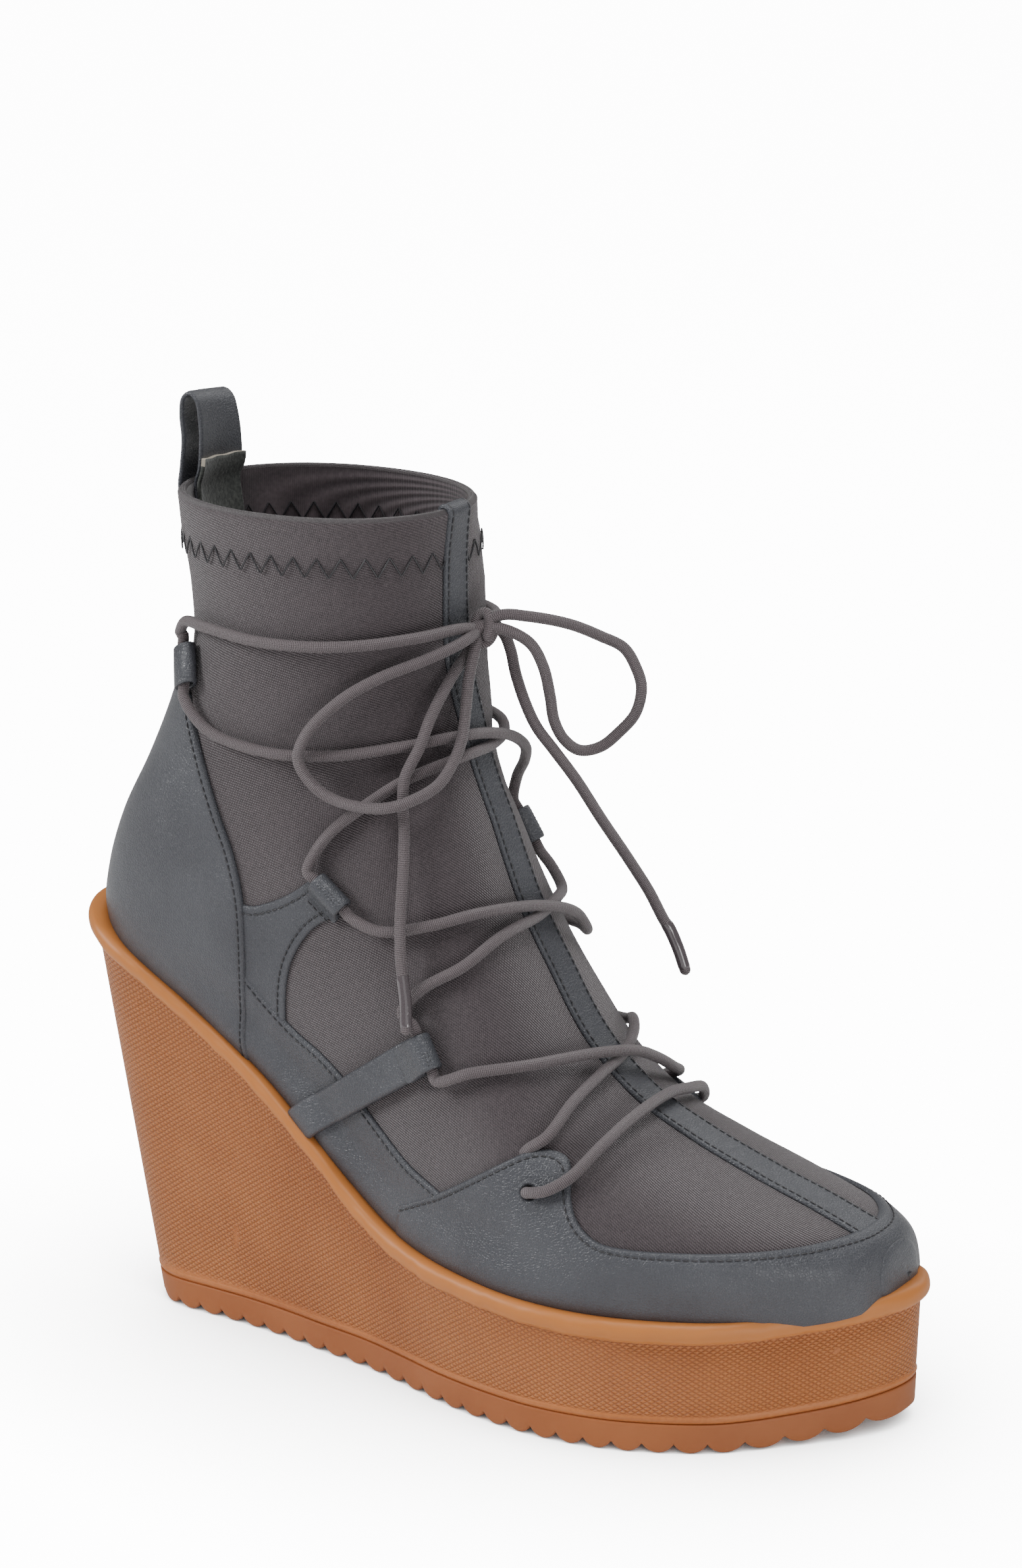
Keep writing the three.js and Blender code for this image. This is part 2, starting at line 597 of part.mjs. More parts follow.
// Upper: a bent tube of closed sections from the toe tip round the heel to the collar
const liftHeight = HEEL_SEAT - FORE_SEAT;
const shaftX = (share) => share * UPPER_LENGTH - HEEL_SET;
const levelZ = (lift, rise) => FORE_SEAT + lift * liftHeight + rise * SHAFT_HEIGHT;
const sectionPlaces = SECTIONS.map((_, k) => k);
const sectionColumn = (read) => SECTIONS.map(read);
const columns = {
  topX: sectionColumn((s) => shaftX(s.top[0])),
  topZ: sectionColumn((s) => levelZ(s.top[1], s.top[2])),
  footX: sectionColumn((s) => shaftX(s.foot[0])),
  footZ: sectionColumn((s) => levelZ(s.foot[1], s.foot[2])),
  half: sectionColumn((s) => s.ball * BALL_WIDTH + s.ankle * ANKLE_WIDTH),
  wide: sectionColumn((s) => s.wide),
  crown: sectionColumn((s) => s.crown),
  base: sectionColumn((s) => s.base),
};

// Point of the upper's outer face at a section place and an angle from the top round the outer side
function upperPoint(place, angle) {
  const read = (name) => curveAt(sectionPlaces, columns[name], place);
  const [topX, topZ, footX, footZ] = [read("topX"), read("topZ"), read("footX"), read("footZ")];
  const [wide, crown, base] = [read("wide"), read("crown"), read("base")];
  const up = Math.cos(angle);
  const power = 2 / (up > 0 ? crown : base);
  const along = up > 0 ? wide + (1 - wide) * Math.pow(up, power) : wide - wide * Math.pow(-up, power);
  const side = Math.sin(angle);
  const x = footX + (topX - footX) * along;
  const z = footZ + (topZ - footZ) * along;
  const y = -Math.sign(side) * read("half") * Math.pow(Math.abs(side), power);
  const foot = Math.min(Math.max((z - FORE_SEAT) / liftHeight, 0), 1);
  return new THREE.Vector3(x, y + treadCentre(x) * (1 - foot), z);
}

const upperGrid = (() => {
  const grid = [];
  for (let s = 0; s < STATIONS; s += 1) {
    const place = (SECTIONS.length - 1) * s / (STATIONS - 1);
    const ring = [];
    for (let k = 0; k < AROUND; k += 1) ring.push(upperPoint(place, 2 * Math.PI * k / AROUND));
    grid.push(ring);
  }
  return grid;
})();
const toeTip = new THREE.Vector3(shaftX(TOE_TIP.x), treadCentre(TREAD_LENGTH), levelZ(0, TOE_TIP.rise));

const upperNormals = upperGrid.map((ring, s) => ring.map((point, k) => {
  const back = s === 0 ? toeTip : upperGrid[s - 1][k];
  const on = upperGrid[Math.min(s + 1, STATIONS - 1)][k];
  const left = ring[(k + AROUND - 1) % AROUND];
  const right = ring[(k + 1) % AROUND];
  return new THREE.Vector3().subVectors(on, back).cross(new THREE.Vector3().subVectors(right, left)).normalize();
}));

// The upper's form grown by a distance, its mouth carried on above the collar by an extra height
function form(distance, above) {
  const rings = upperGrid.map((ring, s) => ring.map((point, k) => {
    const moved = point.clone().addScaledVector(upperNormals[s][k], distance);
    if (s === STATIONS - 1) moved.z = point.z + above;
    return moved;
  }));
  const tip = toeTip.clone();
  tip.x += distance;
  return solidOf(loft(rings.reverse(), undefined, tip));
}

// Rim's top edge in side view
const rimEdge = soleOutline.slice(0, SOLE_POINTS).map(({ point }) => {
  const z = rimHeight(point.x) + RIM_BAND;
  return [point.x - leanAt(point.x, z), z];
});

// Everything below the rim's top edge, raised by a height
function belowRim(raise) {
  const outline = rimEdge.map(([x, z]) => [x, z + raise]);
  const margin = 60;
  const [first, last] = [outline[0], outline[outline.length - 1]];
  outline.unshift([first[0] - margin, first[1]]);
  outline.push([last[0] + margin, last[1]], [last[0] + margin, -margin], [first[0] - margin, -margin]);
  return sideSolid(outline.reverse(), -BALL_WIDTH, BALL_WIDTH);
}

const belowSeat = (raise) => belowRim(raise - CUP_DEPTH);

function makeWedge() {
  const rimLow = (x) => rimHeight(x);
  const block = solidOf(loft([
    soleRing((x) => outsoleTop(x) + GAP, RIDGE_PROUD),
    soleRing((x) => outsoleTop(x) + GAP + RIDGE, RIDGE_PROUD),
    soleRing((x) => outsoleTop(x) + GAP + RIDGE * 1.6, 0),
    soleRing(rimLow, 0),
    soleRing((x) => rimLow(x) + RIM_STEP, RIM_PROUD),
    soleRing((x) => rimLow(x) + RIM_BAND * 0.8, RIM_PROUD),
    soleRing((x) => rimLow(x) + RIM_BAND, RIM_PROUD - 1.2),
  ], "ladder", "ladder"));
  return block.subtract(form(GAP, 0).subtract(belowSeat(0)));
}

function makeUpper() {
  return form(0, 0).subtract(form(-WALL, 8)).subtract(belowSeat(GAP));
}

function makeInsole() {
  return form(-WALL - GAP, 0).intersect(belowSeat(GAP + INSOLE)).subtract(belowSeat(GAP));
}

// Height of the rim's top edge at a place on the boot
const rimTopAt = (x) => curveAt(rimEdge.map((p) => p[0]), rimEdge.map((p) => p[1]), x);

// Side-view point of a panel row
function panelPoint(row) {
  const x = shaftX(row.along);
  return [x, rimTopAt(x) + row.above * SHAFT_HEIGHT];
}

// Smooth side-view line through panel rows, a few points to each row
function panelLine(rows, closeness = 2) {
  const curve = new THREE.CatmullRomCurve3(rows.map((row) => {
    const [x, z] = panelPoint(row);
    return new THREE.Vector3(x, 0, z);
  }), false, "centripetal");
  return curve.getPoints((rows.length - 1) * closeness).map((p) => [p.x, p.z]);
}

// Same line moved square to itself, to its left when the distance is positive
function movedLine(line, distance) {
  return line.map(([x, z], k) => {
    const [x0, z0] = line[Math.max(k - 1, 0)];
    const [x1, z1] = line[Math.min(k + 1, line.length - 1)];
    const length = Math.hypot(x1 - x0, z1 - z0);
    return [x - (z1 - z0) / length * distance, z + (x1 - x0) / length * distance];
  });
}

const FAR = 90;
const LOW = -20;
const counterEdge = panelLine(COUNTER_EDGE);
const quarterEdge = panelLine(QUARTER_EDGE);
const mudguardEdge = panelLine(MUDGUARD_EDGE);

// Outline solids: everything behind the counter's edge, under the quarter's and the mudguard's
const behindCounter = (grow) => sideSolid([
  ...movedLine(counterEdge, grow).reverse(),
  ...panelLine(COUNTER_TOP),
  [shaftX(-0.1), LOW],
  [movedLine(counterEdge, grow)[counterEdge.length - 1][0], LOW],
], -FAR, FAR);
const underQuarter = (grow) => sideSolid([
  [quarterEdge[0][0], LOW],
  [quarterEdge[quarterEdge.length - 1][0], LOW],
  ...movedLine(quarterEdge, grow).reverse(),
], -FAR, FAR);
const underMudguard = (grow) => sideSolid([
  [movedLine(mudguardEdge, grow)[0][0], LOW],
  [mudguardEdge[mudguardEdge.length - 1][0], LOW],
  ...movedLine(mudguardEdge, grow).reverse(),
], -FAR, FAR);

// Leather layer on the upper, above the rim
const layerInside = form(GAP, 0);
const layer = form(GAP + LEATHER, 0).subtract(layerInside).subtract(belowRim(GAP));
const side = (sign) => sideSolid([[-FAR, LOW], [3 * FAR, LOW], [3 * FAR, 3 * FAR], [-FAR, 3 * FAR]],
  sign < 0 ? -FAR : 0, sign < 0 ? 0 : FAR);

// Straight round rod between two points
function rod(from, to, radius, sides = 12) {
  const length = from.distanceTo(to);
  const geometry = new THREE.CylinderGeometry(radius, radius, length, sides);
  geometry.translate(0, length / 2, 0);
  const turn = new THREE.Quaternion().setFromUnitVectors(
    new THREE.Vector3(0, 1, 0),
    new THREE.Vector3().subVectors(to, from).normalize(),
  );
  geometry.applyQuaternion(turn);
  geometry.translate(from.x, from.y, from.z);
  return solidOf(geometry);
}

// Nearest place of the upper's outer face to a side-view point, with its outward normal
function facePoint(x, z, sign) {
  let best = { gap: Infinity };
  for (let s = 1; s < STATIONS; s += 1) {
    for (let k = 1; k < AROUND; k += 1) {
      for (let i = 0; i < 16; i += 1) {
        const [u, v] = [(i % 4) / 4, Math.floor(i / 4) / 4];
        const corners = [upperGrid[s - 1][k - 1], upperGrid[s - 1][k], upperGrid[s][k - 1], upperGrid[s][k]];
        const weights = [(1 - u) * (1 - v), u * (1 - v), (1 - u) * v, u * v];
        const point = new THREE.Vector3();
        corners.forEach((corner, c) => point.addScaledVector(corner, weights[c]));
        const gap = Math.hypot(point.x - x, point.z - z);
        if (point.y * sign > 0 && gap < best.gap) best = { gap, point, normal: upperNormals[s][k] };
      }
    }
  }
  return best;
}

// Place on the smooth outer face with its outward normal
function faceAt(section, turn) {
  const step = 0.02;
  const along = upperPoint(section + step, turn).sub(upperPoint(section - step, turn));
  const round = upperPoint(section, turn + step).sub(upperPoint(section, turn - step));
  return { point: upperPoint(section, turn), normal: along.cross(round).normalize() };
}

// Leather loops that hold the lace. Each is a sleeve on the upper, from its upper to its lower end.
const sleeveOutside = LACE / 2 + LOOP_ROOM + LOOP_LEATHER;
function sleeve(bore, sign) {
  const ends = bore.map((row) => {
    const [x, z] = panelPoint(row);
    const { point, normal } = facePoint(x, z, sign);
    return point.clone().addScaledVector(normal, GAP + sleeveOutside);
  });
  return { from: ends[0], to: ends[1] };
}

const SIDES = [["lateral", -1], ["medial", 1]];
const sleeves = Object.fromEntries(SIDES.map(([name, sign]) => [name, {
  strap: sleeve(STRAP_BORE, sign),
  tab: sleeve(TAB_BORE[name], sign),
  keeper: sleeve(KEEPER_BORE, sign),
}]));

const sleeveBody = ({ from, to }) => rod(from, to, sleeveOutside, 10);

function sleeveBore({ from, to }) {
  const reach = new THREE.Vector3().subVectors(to, from);
  return rod(from.clone().sub(reach), to.clone().add(reach), LACE / 2 + LOOP_ROOM, 10);
}

// Leather flap with a sleeve at its end, trimmed to lie on the upper
function looped(flap, loop) {
  return flap.add(sleeveBody(loop)).subtract(sleeveBore(loop)).subtract(form(GAP, 0));
}

function makeCounter() {
  return layer.intersect(behindCounter(0));
}

function makeMudguard() {
  const holes = [-1, 1].map((sign) => {
    const [x, z] = panelPoint(EYELET_PLACE);
    const { point, normal } = facePoint(x, z, sign);
    return rod(point.clone().addScaledVector(normal, -6), point.clone().addScaledVector(normal, 6), EYELET / 2, 10);
  });
  return layer.intersect(underMudguard(0)).subtract(holes[0]).subtract(holes[1]);
}

function makeQuarterStrip(sign) {
  return layer.intersect(underQuarter(0)).intersect(side(sign))
    .subtract(behindCounter(GAP)).subtract(underMudguard(GAP));
}

// Wing of a side tab, cut off behind the counter and the quarter strip
function makeTab(name, sign) {
  const { from, to } = sleeves[name].tab;
  const tip = [[to.x, to.z], [from.x, from.z]];
  const upperEdge = panelLine(TAB_UPPER_EDGE, 1);
  const lowerEdge = panelLine(TAB_LOWER_EDGE, 1);
  const outline = sideSolid([...lowerEdge.slice(1).reverse(), ...tip, ...upperEdge.slice(0, -1).reverse()], -FAR, FAR);
  const wing = layer.intersect(outline).intersect(side(sign))
    .subtract(behindCounter(GAP)).subtract(underQuarter(GAP));
  return looped(wing, sleeves[name].tab);
}

// Folded strap that lies over the quarter strip
const strapFloor = GAP * 2 + LEATHER;
function makeStrap(name, sign) {
  const thick = form(strapFloor + STRAP_THICK, 0).subtract(form(strapFloor, 0)).subtract(belowRim(GAP));
  const flap = thick.intersect(sideSolid(STRAP_CORNERS.map(panelPoint), -FAR, FAR)).intersect(side(sign));
  return looped(flap, sleeves[name].strap);
}

function makeKeeper(name, sign) {
  const { from, to } = sleeves[name].keeper;
  const plate = layer.intersect(sideSolid([
    [to.x - KEEPER_WIDTH / 2, to.z],
    [to.x + KEEPER_WIDTH / 2, to.z],
    [from.x + KEEPER_WIDTH / 2, from.z],
    [from.x - KEEPER_WIDTH / 2, from.z],
  ], -FAR, FAR)).intersect(side(sign));
  return looped(plate, sleeves[name].keeper).subtract(behindCounter(GAP));
}

const collarTop = levelZ(1, 1);

// Strip down the front, turned over the collar's edge
function makeCentreStrip() {
  const edge = GAP + LEATHER;
  const around = form(edge, edge).subtract(form(-WALL - edge, edge + 1));
  const clear = form(GAP, GAP).subtract(form(-WALL - GAP, 8));
  const line = STRIP_LINE.map((row) => [shaftX(row.along), row.aside * STRIP_WIDTH]);
  const shape = [
    ...line.map(([x, y]) => new THREE.Vector2(x, y - STRIP_WIDTH / 2)),
    ...line.slice().reverse().map(([x, y]) => new THREE.Vector2(x, y + STRIP_WIDTH / 2)),
  ];
  const prism = solidOf(new THREE.ExtrudeGeometry(new THREE.Shape(shape), {
    depth: collarTop + 3 * edge,
    bevelEnabled: false,
  }));
  const inside = form(-WALL, 0).intersect(sideSolid([
    [0, LOW],
    [TREAD_LENGTH + FAR, LOW],
    [TREAD_LENGTH + FAR, collarTop - STRIP_TURN],
    [0, collarTop - STRIP_TURN],
  ], -FAR, FAR));
  return around.subtract(clear).intersect(prism).subtract(inside)
    .subtract(belowRim(GAP)).subtract(underMudguard(GAP));
}

// Loop at the back of the collar: a lofted strap up the outside, over and down the inside. Each
// station holds its middle line's places across the width and the way out of the loop.
function makePullLoop() {
  const collar = SECTIONS.length - 1;
  const half = columns.half[collar];
  const asides = [-0.5, -0.25, 0, 0.25, 0.5].map((share) => share * PULL_WIDTH);
  const wallAt = (aside, drop) => faceAt(collar - drop / COLLAR_STEP, Math.PI + Math.asin(aside / half));
  const leg = (drop, distance) => asides.map((aside) => {
    const { point, normal } = wallAt(aside, drop);
    return point.addScaledVector(normal, distance);
  });
  const back = wallAt(0, 0).point;
  const arch = PULL_LINE.map(({ ahead, rise }) => asides.map((aside) => {
    const bend = (wallAt(aside, 0).point.x - back.x) * (1 - rise * PULL_FLATTENS);
    return new THREE.Vector3(
      back.x + ahead * PULL_RISE + bend - aside * PULL_TWIST * rise,
      aside,
      back.z + rise * PULL_RISE - aside * PULL_TWIST * rise,
    );
  }));
  const outside = GAP + LEATHER / 2;
  const inside = -WALL - 3 * GAP - LEATHER / 2;
  const stations = [
    leg(PULL_OUTSIDE, outside), leg(PULL_OUTSIDE / 2, outside), leg(0, outside),
    ...arch,
    leg(0, inside), leg(PULL_INSIDE / 2, inside), leg(PULL_INSIDE, inside),
  ];
  const rings = stations.map((row, s) => {
    const before = stations[Math.max(s - 1, 0)];
    const after = stations[Math.min(s + 1, stations.length - 1)];
    const out = row.map((_, k) => new THREE.Vector3().subVectors(after[k], before[k])
      .cross(new THREE.Vector3().subVectors(row[Math.max(k - 1, 0)], row[Math.min(k + 1, row.length - 1)]))
      .normalize());
    const face = (distance) => row.map((point, k) => point.clone().addScaledVector(out[k], distance));
    return [...face(LEATHER / 2), ...face(-LEATHER / 2).reverse()];
  });
  return solidOf(loft(rings, "ladder", "ladder"));
}

// Lace
const facePlace = ({ section, turn, lift }, flip = 1) => {
  const { point, normal } = faceAt(section, turn * flip * Math.PI / 180);
  return point.addScaledVector(normal, lift * LACE);
};
const run = (rows, flip = 1) => rows.map((row) => facePlace(row, flip));

// Straight way up through a loop, with a little more before and after it
function through({ from, to }) {
  const more = new THREE.Vector3().subVectors(from, to).multiplyScalar(LOOP_STRAIGHT);
  return [to.clone().sub(more), to, from, from.clone().add(more)];
}

function tube(points, width) {
  const path = new THREE.CatmullRomCurve3(points, false, "centripetal");
  const corners = [];
  for (let k = 0; k < LACE_SIDES; k += 1) {
    const angle = 2 * Math.PI * k / LACE_SIDES;
    corners.push(new THREE.Vector2(width / 2 * Math.cos(angle), width / 2 * Math.sin(angle)));
  }
  const steps = Math.ceil(path.getLength() / LACE_STEP);
  const shape = new THREE.Shape(corners);
  return solidOf(new THREE.ExtrudeGeometry(shape, { steps, bevelEnabled: false, extrudePath: path }));
}

const knotPlace = facePlace(KNOT_PLACE);
const fromKnot = ({ ahead, aside, above }) => new THREE.Vector3(ahead, aside, above)
  .multiplyScalar(BOW).add(knotPlace);

function makeCrossings() {
  const { lateral, medial } = sleeves;
  const first = tube([
    ...run(TOE_TO_INNER_STRAP), ...through(medial.strap),
    ...run(STRAP_TO_OUTER_TAB), ...through(lateral.tab),
    ...run(TAB_TO_INNER_KEEPER), ...through(medial.keeper),
    ...run(KEEPER_TO_KNOT, -1),
  ], LACE);
  const second = tube([
    ...run(TOE_TO_OUTER_STRAP), ...through(lateral.strap),
    ...run(STRAP_TO_INNER_TAB), ...through(medial.tab),
    ...run(TAB_TO_OUTER_KEEPER), ...through(lateral.keeper),
    ...run(KEEPER_TO_KNOT),
  ], LACE);
  return first.add(second).subtract(knotSolid(KNOT_CLEAR));
}

function knotSolid(grow) {
  const geometry = new THREE.IcosahedronGeometry(0.5, 1);
  geometry.scale(KNOT + grow, KNOT + grow, KNOT_HEIGHT + grow);
  geometry.translate(knotPlace.x, knotPlace.y, knotPlace.z);
  return solidOf(geometry);
}

function makeCord(points, width = LACE) {
  return tube(points, width).subtract(knotSolid(KNOT_CLEAR));
}

// Lace end and its aglet: the aglet takes the last three points of the route
function splitEnd(points) {
  const plain = points.slice(0, -2);
  const last = plain.length - 1;
  const back = new THREE.Vector3().subVectors(plain[last - 1], plain[last]).setLength(2 * GAP);
  plain[last] = plain[last].clone().add(back);
  return { plain, tip: points.slice(-3) };
}

// Finishes
const finish = (color, roughness) => new THREE.MeshStandardMaterial({ color, roughness, metalness: 0 });
const gum = finish(0xb4703f, 0.55);
const fabric = finish(0x5b5354, 0.8);
const lining = finish(0x3f3b3c, 0.9);
const leather = finish(0x585c62, 0.5);
const cord = finish(0x695f62, 0.6);
const film = finish(0x7a7276, 0.3);

const boot = new THREE.Group();

function addPiece(name, solid, material) {
  const mesh = new THREE.Mesh(geometryOf(solid), material);
  mesh.name = name;
  boot.add(mesh);
}

addPiece("outsole", makeOutsole(), gum);
addPiece("wedge", makeWedge(), gum);
addPiece("upper", makeUpper(), fabric);
addPiece("insole", makeInsole(), lining);
addPiece("counter", makeCounter(), leather);
addPiece("mudguard", makeMudguard(), leather);
for (const [name, sign] of SIDES) {
  addPiece(`quarter_strip_${name}`, makeQuarterStrip(sign), leather);
  addPiece(`side_tab_${name}`, makeTab(name, sign), leather);
  addPiece(`strap_loop_${name}`, makeStrap(name, sign), leather);
  addPiece(`keeper_${name}`, makeKeeper(name, sign), leather);
}
addPiece("centre_strip", makeCentreStrip(), leather);
addPiece("pull_loop", makePullLoop(), leather);
addPiece("lace_bar", tube(run(BAR_RUN), LACE), cord);
addPiece("lace_crossings", makeCrossings(), cord);

// Box of the boot without its free lace
const box = new THREE.Box3().setFromObject(boot);

addPiece("lace_knot", knotSolid(0), cord);
addPiece("bow_loop_lateral", makeCord([knotPlace, ...run(OUTER_LOOP), knotPlace]), cord);
addPiece("bow_loop_medial", makeCord([knotPlace, ...INNER_LOOP.map(fromKnot), knotPlace]), cord);
const ends = {
  lateral: splitEnd(run(OUTER_END)),
  medial: splitEnd(INNER_END.map(fromKnot)),
};
for (const [name, { plain, tip }] of Object.entries(ends)) {
  addPiece(`lace_end_${name}`, makeCord(plain), cord);
  addPiece(`aglet_${name}`, tube(tip, AGLET), film);
}

// Origin under the middle of that box
boot.position.set(-(box.min.x + box.max.x) / 2, -(box.min.y + box.max.y) / 2, -box.min.z);

export default boot;
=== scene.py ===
"""Wedge ankle boot: smooth leather, stretch fabric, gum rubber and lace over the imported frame.

Lengths are in millimetres in the boot's own design frame, where x is 0 at the tread's heel, and
become metres in the row frame when a mesh is made.
"""

from __future__ import annotations

import logging
import math
from dataclasses import dataclass
from enum import Enum
from typing import Sequence

import bmesh
import bpy
import numpy as np
from mathutils import Matrix, Vector

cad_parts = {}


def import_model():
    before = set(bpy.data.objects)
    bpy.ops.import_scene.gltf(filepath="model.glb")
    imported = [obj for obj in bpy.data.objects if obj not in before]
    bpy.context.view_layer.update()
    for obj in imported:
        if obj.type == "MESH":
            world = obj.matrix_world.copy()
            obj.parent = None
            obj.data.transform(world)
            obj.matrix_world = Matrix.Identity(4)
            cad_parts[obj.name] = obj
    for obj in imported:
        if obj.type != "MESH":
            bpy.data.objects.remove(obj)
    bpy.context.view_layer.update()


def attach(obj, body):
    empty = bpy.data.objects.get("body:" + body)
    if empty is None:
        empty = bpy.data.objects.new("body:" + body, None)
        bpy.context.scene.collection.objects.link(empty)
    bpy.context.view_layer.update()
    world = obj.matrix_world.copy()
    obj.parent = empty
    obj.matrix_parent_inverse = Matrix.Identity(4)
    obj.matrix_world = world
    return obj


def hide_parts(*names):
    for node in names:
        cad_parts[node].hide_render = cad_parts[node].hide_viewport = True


LOG = logging.getLogger("boot")
BODY = "root"
MM = 0.001
SHIFT = np.array([-105.82062, 1.52086, 0.0])
PATTERN_STEP = 0.01
Array = np.ndarray
Material = bpy.types.Material
Piece = bpy.types.Object
Socket = bpy.types.NodeSocket
Triple = tuple[Array, Array, Array]


class Side(Enum):
    """Outer and inner side of a right boot, as the sign of y."""

    LATERAL = -1
    MEDIAL = 1

    @property
    def word(self) -> str:
        """Name of the side as the frame's nodes spell it."""
        return self.name.lower()

    def turns(self, first: float) -> tuple[float, float]:
        """Turns in degrees that hold the side, from first to short of the back."""
        return (first, 170) if self is Side.LATERAL else (190, 360 - first)


def metres(points: Array) -> Array:
    """Turn design-frame millimetres into row-frame metres.

    Args:
        points: One point or rows of points.

    Returns:
        The same points in metres.
    """
    return (np.asarray(points, float) + SHIFT) * MM


def curve_at(places: Sequence[float], values: Sequence[float], where: Array) -> Array:
    """Smooth curve through values at rising places, flat beyond its ends.

    Args:
        places: Rising places of the values.
        values: Value at each place.
        where: Places to read.

    Returns:
        The curve's value at each place of where.
    """
    xs, ys = np.asarray(places, float), np.asarray(values, float)
    slopes = np.gradient(ys, xs, edge_order=1)
    slopes[1:-1] = (ys[2:] - ys[:-2]) / (xs[2:] - xs[:-2])
    spot = np.clip(np.asarray(where, float), xs[0], xs[-1])
    i = np.clip(np.searchsorted(xs, spot, side="right") - 1, 0, len(xs) - 2)
    h = xs[i + 1] - xs[i]
    s = (spot - xs[i]) / h
    s2, s3 = s * s, s * s * s
    return ((2 * s3 - 3 * s2 + 1) * ys[i] + (s3 - 2 * s2 + s) * h * slopes[i]
            + (3 * s2 - 2 * s3) * ys[i + 1] + (s3 - s2) * h * slopes[i + 1])


def there_and_back(x: Array) -> Array:
    """Places of an outline's points, along one side and back along the other."""
    return np.concatenate([x, x[::-1]])


def unit(rows: Array) -> Array:
    """Rows scaled to length one."""
    return rows / (np.linalg.norm(rows, axis=-1, keepdims=True) + 1e-12)


def smooth(low: float, high: float, value: Array) -> Array:
    """Soft step from 0 below low to 1 above high."""
    t = np.clip((np.asarray(value, float) - low) / (high - low), 0, 1)
    return t * t * (3 - 2 * t)


def spline(points: Array, spacing: float) -> Array:
    """Centripetal curve through points, sampled evenly.

    Args:
        points: Rows of control points.
        spacing: Distance between the samples.

    Returns:
        Rows of samples, ends included.
    """
    p = np.asarray(points, float)
    p = np.vstack([2 * p[0] - p[1], p, 2 * p[-1] - p[-2]])
    fine = []
    for a, b, c, d in zip(p[:-3], p[1:-2], p[2:-1], p[3:]):
        t1 = math.sqrt(np.linalg.norm(b - a)) + 1e-9
        t2 = t1 + math.sqrt(np.linalg.norm(c - b)) + 1e-9
        t3 = t2 + math.sqrt(np.linalg.norm(d - c)) + 1e-9
        t = np.linspace(t1, t2, 24, endpoint=False)[:, None]
        ab = (t1 - t) / t1 * a + t / t1 * b
        bc = (t2 - t) / (t2 - t1) * b + (t - t1) / (t2 - t1) * c
        cd = (t3 - t) / (t3 - t2) * c + (t - t2) / (t3 - t2) * d
        abc = (t2 - t) / t2 * ab + t / t2 * bc
        bcd = (t3 - t) / (t3 - t1) * bc + (t - t1) / (t3 - t1) * cd
        fine.append((t2 - t) / (t2 - t1) * abc + (t - t1) / (t2 - t1) * bcd)
    return even(np.vstack([*fine, p[-2][None]]), spacing)


def distances(line: Array) -> Array:
    """Distance along a polyline at each of its points."""
    return np.concatenate([[0], np.cumsum(np.linalg.norm(np.diff(line, axis=0), axis=1))])


def even(line: Array, spacing: float) -> Array:
    """Polyline sampled again at an even spacing, ends included."""
    far = distances(line)
    count = max(int(round(far[-1] / spacing)), 1)
    spots = np.linspace(0, far[-1], count + 1)
    return np.stack([np.interp(spots, far, line[:, k]) for k in range(line.shape[1])], axis=1)


def length_of(line: Array) -> float:
    """Length of a polyline."""
    return float(np.linalg.norm(np.diff(line, axis=0), axis=1).sum())


def make_object(name: str, points: Array, faces: Array, material: Material,
                uv: Array | None = None) -> Piece:
    """Make a mesh object in the row frame.

    Args:
        name: Name of the piece.
        points: Rows of design-frame points in millimetres.
        faces: Rows of three or four corner numbers, a repeated fourth corner for a triangle.
        material: Finish of the piece.
        uv: A pattern place in millimetres for each point, if the finish reads one.

    Returns:
        The linked object, without a body.
    """
    mesh = bpy.data.meshes.new(name)
    rows = [tuple(dict.fromkeys(int(k) for k in row)) for row in faces]
    mesh.from_pydata(metres(points).tolist(), [], [row for row in rows if len(row) > 2])
    if uv is not None:
        layer = mesh.uv_layers.new(name="pattern")
        corners = np.empty(len(mesh.loops), dtype=np.int64)
        mesh.loops.foreach_get("vertex_index", corners)
        layer.data.foreach_set("uv", (uv[corners] * PATTERN_STEP).ravel())
    shell = bmesh.new()
    shell.from_mesh(mesh)
    bmesh.ops.remove_doubles(shell, verts=shell.verts, dist=1e-6)
    bmesh.ops.dissolve_degenerate(shell, edges=shell.edges, dist=1e-7)
    shell.to_mesh(mesh)
    shell.free()
    mesh.materials.append(material)
    mesh.polygons.foreach_set("use_smooth", [True] * len(mesh.polygons))
    mesh.update()
    piece = bpy.data.objects.new(name, mesh)
    bpy.context.scene.collection.objects.link(piece)
    return piece


def dress(piece: Piece, slot: str | None, *nodes: str) -> Piece:
    """Ride a piece on the boot's body, in place of frame nodes."""
    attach(piece, BODY)
    if nodes:
        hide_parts(*nodes)
    LOG.info("%s: %d faces", piece.name, len(piece.data.polygons) if piece.type == "MESH" else 0)
    return piece


def fix_outward(piece: Piece) -> None:
    """Turn a closed mesh's faces outward."""
    shell = bmesh.new()
    shell.from_mesh(piece.data)
    bmesh.ops.recalc_face_normals(shell, faces=shell.faces)
    shell.to_mesh(piece.data)
    shell.free()


def closed_piece(name: str, shape: Triple, material: Material, slot: str, *nodes: str) -> Piece:
    """Make and dress a piece of a closed shape, with its faces outward."""
    piece = make_object(name, *shape[:2], material, shape[2])
    fix_outward(piece)
    return dress(piece, slot, *nodes)


def grid_faces(rows: int, columns: int, closed: bool = False) -> Array:
    """Quads of a grid of points, joined round its columns if closed."""
    r, c = np.meshgrid(np.arange(rows - 1), np.arange(columns if closed else columns - 1), indexing="ij")
    on = (c + 1) % columns
    return np.stack([r * columns + c, r * columns + on, (r + 1) * columns + on,
                     (r + 1) * columns + c], axis=-1).reshape(-1, 4)


